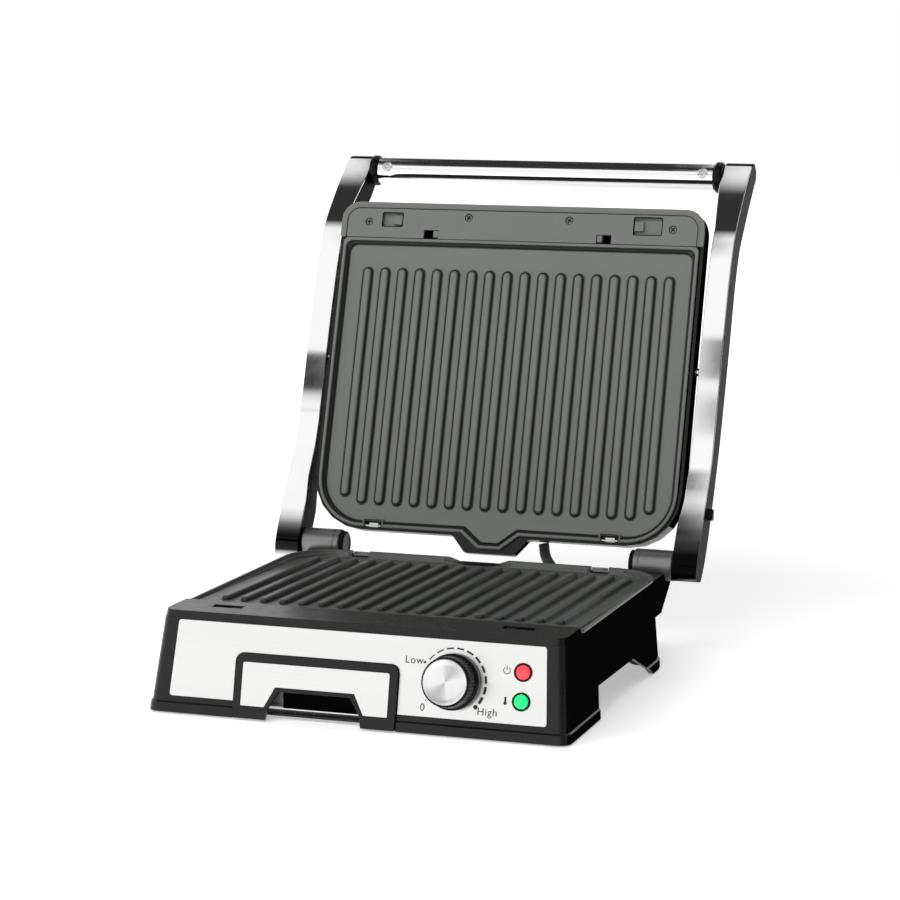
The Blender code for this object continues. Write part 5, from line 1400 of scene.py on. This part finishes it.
def chrome_material(name, light, dark, smooth, rough):
    """Plated metal: mirror gloss, wiping haze and fine polishing waves, painted black where painted_darkness
    says, as a painted reflection.
    """
    made, tree, shader = new_material(name)
    effect = mottle_node(tree, light, dark, smooth, rough, 11.0, 160.0)
    painted_dark_node = node(tree, "ShaderNodeAttribute", attribute_name="painted_darkness")
    with_painted_reflection = node(tree, "ShaderNodeMix", data_type="RGBA")
    with_painted_reflection.inputs[7].default_value = (0.004, 0.004, 0.004, 1)
    tree.links.new(painted_dark_node.outputs["Fac"], with_painted_reflection.inputs[0])
    tree.links.new(effect.outputs["Tone"], with_painted_reflection.inputs[6])
    gloss, relief = effect.outputs["Roughness"], effect.outputs["Height"]
    surface(tree, shader, with_painted_reflection.outputs[2], gloss, relief, 0.05, 0.00003)
    shader.inputs["Metallic"].default_value = 1.0
    return made


arm_black = mottled(
    "arm_black_moulding", (0.0055, 0.0055, 0.0055), (0.0035, 0.0035, 0.0035), 0.40, 0.50, 25.0, 1800.0,
    0.00001, specular=0.03,
)
chrome = chrome_material("polished_chrome_plate", (0.97, 0.97, 0.965), (0.93, 0.93, 0.925), 0.05, 0.085)
for side, sign in (("left", -1), ("right", 1)):
    for piece, near, far, material, edge, source, slot_name in (
        ("core", TRIM_THICK + 0.0003, None, arm_black, 0.0022, "arm_", "black_plastic"),
        ("strip", 0.0, TRIM_THICK, chrome, 0.0006, "arm_trim_", "polished_chrome"),
    ):
        front_knots = np.array(ARM_FOOT_LINE + ARM_MIDDLE_LINE[side] + ARM_TOP_LINE)
        back_knots = ARM_BACK
        if far is None:
            # the core runs on past the strip and closes over the arm's end
            front_knots = np.concatenate([front_knots, CORE_TOP_FRONT])
            back_knots = np.concatenate([back_knots, CORE_TOP_BACK])
        front_line = smooth_line(front_knots, ARM_STEPS)
        back_line = smooth_line(back_knots, ARM_STEPS)
        deep = np.linalg.norm(back_line - front_line, axis=1)[:, None]
        inward = (back_line - front_line) / deep
        along_a = (front_line[:, 0] + back_line[:, 0]) / 2
        arm_width = np.interp(
            along_a, ARM_WIDE_AT, (ARM_WIDE_FOOT, ARM_WIDE, ARM_WIDE, ARM_WIDE_END)
        )
        back_depth = deep if far is None else np.full_like(deep, far)
        corners = []
        for x, depth in (
            (ARM_OUT - arm_width, near), (np.full_like(arm_width, ARM_OUT), near),
            (np.full_like(arm_width, ARM_OUT), back_depth), (ARM_OUT - arm_width, back_depth),
        ):
            corners.append(np.column_stack([sign * x, front_line + inward * depth]))
        arm = ring_body(f"arm_{piece}_{side}", on_lid(np.stack(corners, 1)), material, 40)
        if far is not None:
            # painted reflection: the plating is painted black at the foot, for the black deck it would
            # reflect, and clears within a few centimetres
            up_lid = (vertex_spots(arm) - (0, HINGE_Y, HINGE_Z)) @ lid_up
            paint_darkness(arm.data, np.interp(up_lid, *PAINTED_FOOT_REFLECTION[side]))
        bevel = arm.modifiers.new("rounded_edges", "BEVEL")
        bevel.width = edge
        bevel.segments = 4
        bevel.limit_method = "ANGLE"
        bevel.angle_limit = math.radians(50)
        bevel.harden_normals = True
        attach(arm, "arms")
        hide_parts(source + side)

# ------------------------------------------------------------------ handle
# A chromed steel tube between the arms' ends, seated in black collars and
# fixed by a domed screw near each end.
low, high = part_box("handle_tube")
tube_middle = (low + high) / 2
tube_r = (high.z - low.z) / 2
ends = [low.x, low.x, low.x + 0.0006, high.x - 0.0006, high.x, high.x]
radii = [tube_r * 0.8, tube_r - 0.0006, tube_r, tube_r, tube_r - 0.0006, tube_r * 0.8]
tube = ring_body("handle_bar", turned_on_x(tube_middle, ends, radii, 96), chrome, 25)
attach(tube, "arms")
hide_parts("handle_tube")
for side in ("left", "right"):
    low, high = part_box("handle_collar_" + side)
    collar_r = (high.z - low.z) / 2
    middle = (low + high) / 2
    ends = [low.x, low.x, low.x + 0.0007, low.x + 0.0016]
    ends += [high.x - 0.0016, high.x - 0.0007, high.x, high.x]
    radii = [collar_r * 0.7, collar_r - 0.0014, collar_r - 0.0004, collar_r]
    rings = turned_on_x(middle, ends, radii + radii[::-1])
    collar = ring_body("handle_seat_" + side, rings, knob_black, 50)
    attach(collar, "arms")
    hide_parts("handle_collar_" + side)
    low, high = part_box("handle_screw_" + side)
    middle = np.array((low + high) / 2)
    axis = middle - np.array([middle[0], tube_middle.y, tube_middle.z])
    out = axis / np.linalg.norm(axis)
    screw = screw_head(
        "handle_screw_head_" + side, middle, out, (1.0, 0.0, 0.0), 0.0043, 0.0011, bright_steel
    )
    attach(screw, "arms")
    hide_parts("handle_screw_" + side)

# ------------------------------------------------------------------ leads
# A short sleeved lead carries current from the base to the lid's heater. The
# mains lead's gland is in the rear wall; the mains lead itself isn't fitted.
LEAD_R = 0.0042
LEAD_X = 0.0395
LEAD_STEPS = 10
LEAD_AROUND = 32
REAR_WALL_Y = 0.0616
WEAVE_REPEAT = 0.008
sleeve_black, tree, shader = new_material("woven_lead_sleeve")
place = node(tree, "ShaderNodeUVMap", uv_map="along")
weave = node(
    tree, "ShaderNodeTexWave", {"Scale": 9.0, "Distortion": 0.6, "Detail": 1.0},
    bands_direction="DIAGONAL",
)
tone = tones(tree, (0.030, 0.030, 0.031), (0.060, 0.060, 0.062))
gloss = node(tree, "ShaderNodeMapRange", {"To Min": 0.5, "To Max": 0.7})
tree.links.new(place.outputs[0], weave.inputs["Vector"])
tree.links.new(weave.outputs["Fac"], tone.inputs[0])
tree.links.new(weave.outputs["Fac"], gloss.inputs["Value"])
surface(tree, shader, tone.outputs[2], gloss.outputs["Result"], weave.outputs["Fac"], 0.5, 0.0002)

lead_top = on_lid((LEAD_X, 0.0135, -0.0240))
lead_next = on_lid((LEAD_X + 0.0035, 0.0018, -0.0240))
lead_knots = np.array([
    lead_top, lead_next, (LEAD_X + 0.0190, REAR_WALL_Y + 0.0260, 0.0520),
    (LEAD_X + 0.0240, REAR_WALL_Y + 0.0150, 0.0430), (LEAD_X + 0.0240, REAR_WALL_Y + 0.0003, 0.0420),
])
lead_line = smooth_line(lead_knots, LEAD_STEPS)
ahead = np.gradient(lead_line, axis=0)
ahead /= np.linalg.norm(ahead, axis=1)[:, None]
across_lead = np.cross(ahead, (1.0, 0.0, 0.0))
across_lead /= np.linalg.norm(across_lead, axis=1)[:, None]
other = np.cross(ahead, across_lead)
turn = np.linspace(0, 2 * np.pi, LEAD_AROUND, endpoint=False)[None, :, None]
spokes = np.cos(turn) * across_lead[:, None] + np.sin(turn) * other[:, None]
lead = ring_body("jumper_sleeve", lead_line[:, None] + LEAD_R * spokes, sleeve_black, 60)
run = np.concatenate([[0], np.cumsum(np.linalg.norm(np.diff(lead_line, axis=0), axis=1))])
# the weave's map: the turn round the lead, up one side and back, and the run along it
along_map = lead.data.uv_layers.new(name="along")
spot = vertex_spots(lead)
nearest = np.argmin(np.linalg.norm(spot[:, None] - lead_line[None], axis=2), axis=1)
spoke = spot - lead_line[nearest]
around = np.arctan2((spoke * other[nearest]).sum(1), (spoke * across_lead[nearest]).sum(1))
sleeve_uv = np.stack([np.abs(around / np.pi) * 2.0, run[nearest] / WEAVE_REPEAT], -1)
along_map.data.foreach_set("uv", sleeve_uv[corner_vertices(lead)].ravel())
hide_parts("jumper_lead")
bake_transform(lead)
dressed("mains_gland", "cord_gland", knob_black, 0.0003)

# ------------------------------------------------------------------ sizes
# The box round the finished look, the backdrop left out.
low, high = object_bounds()
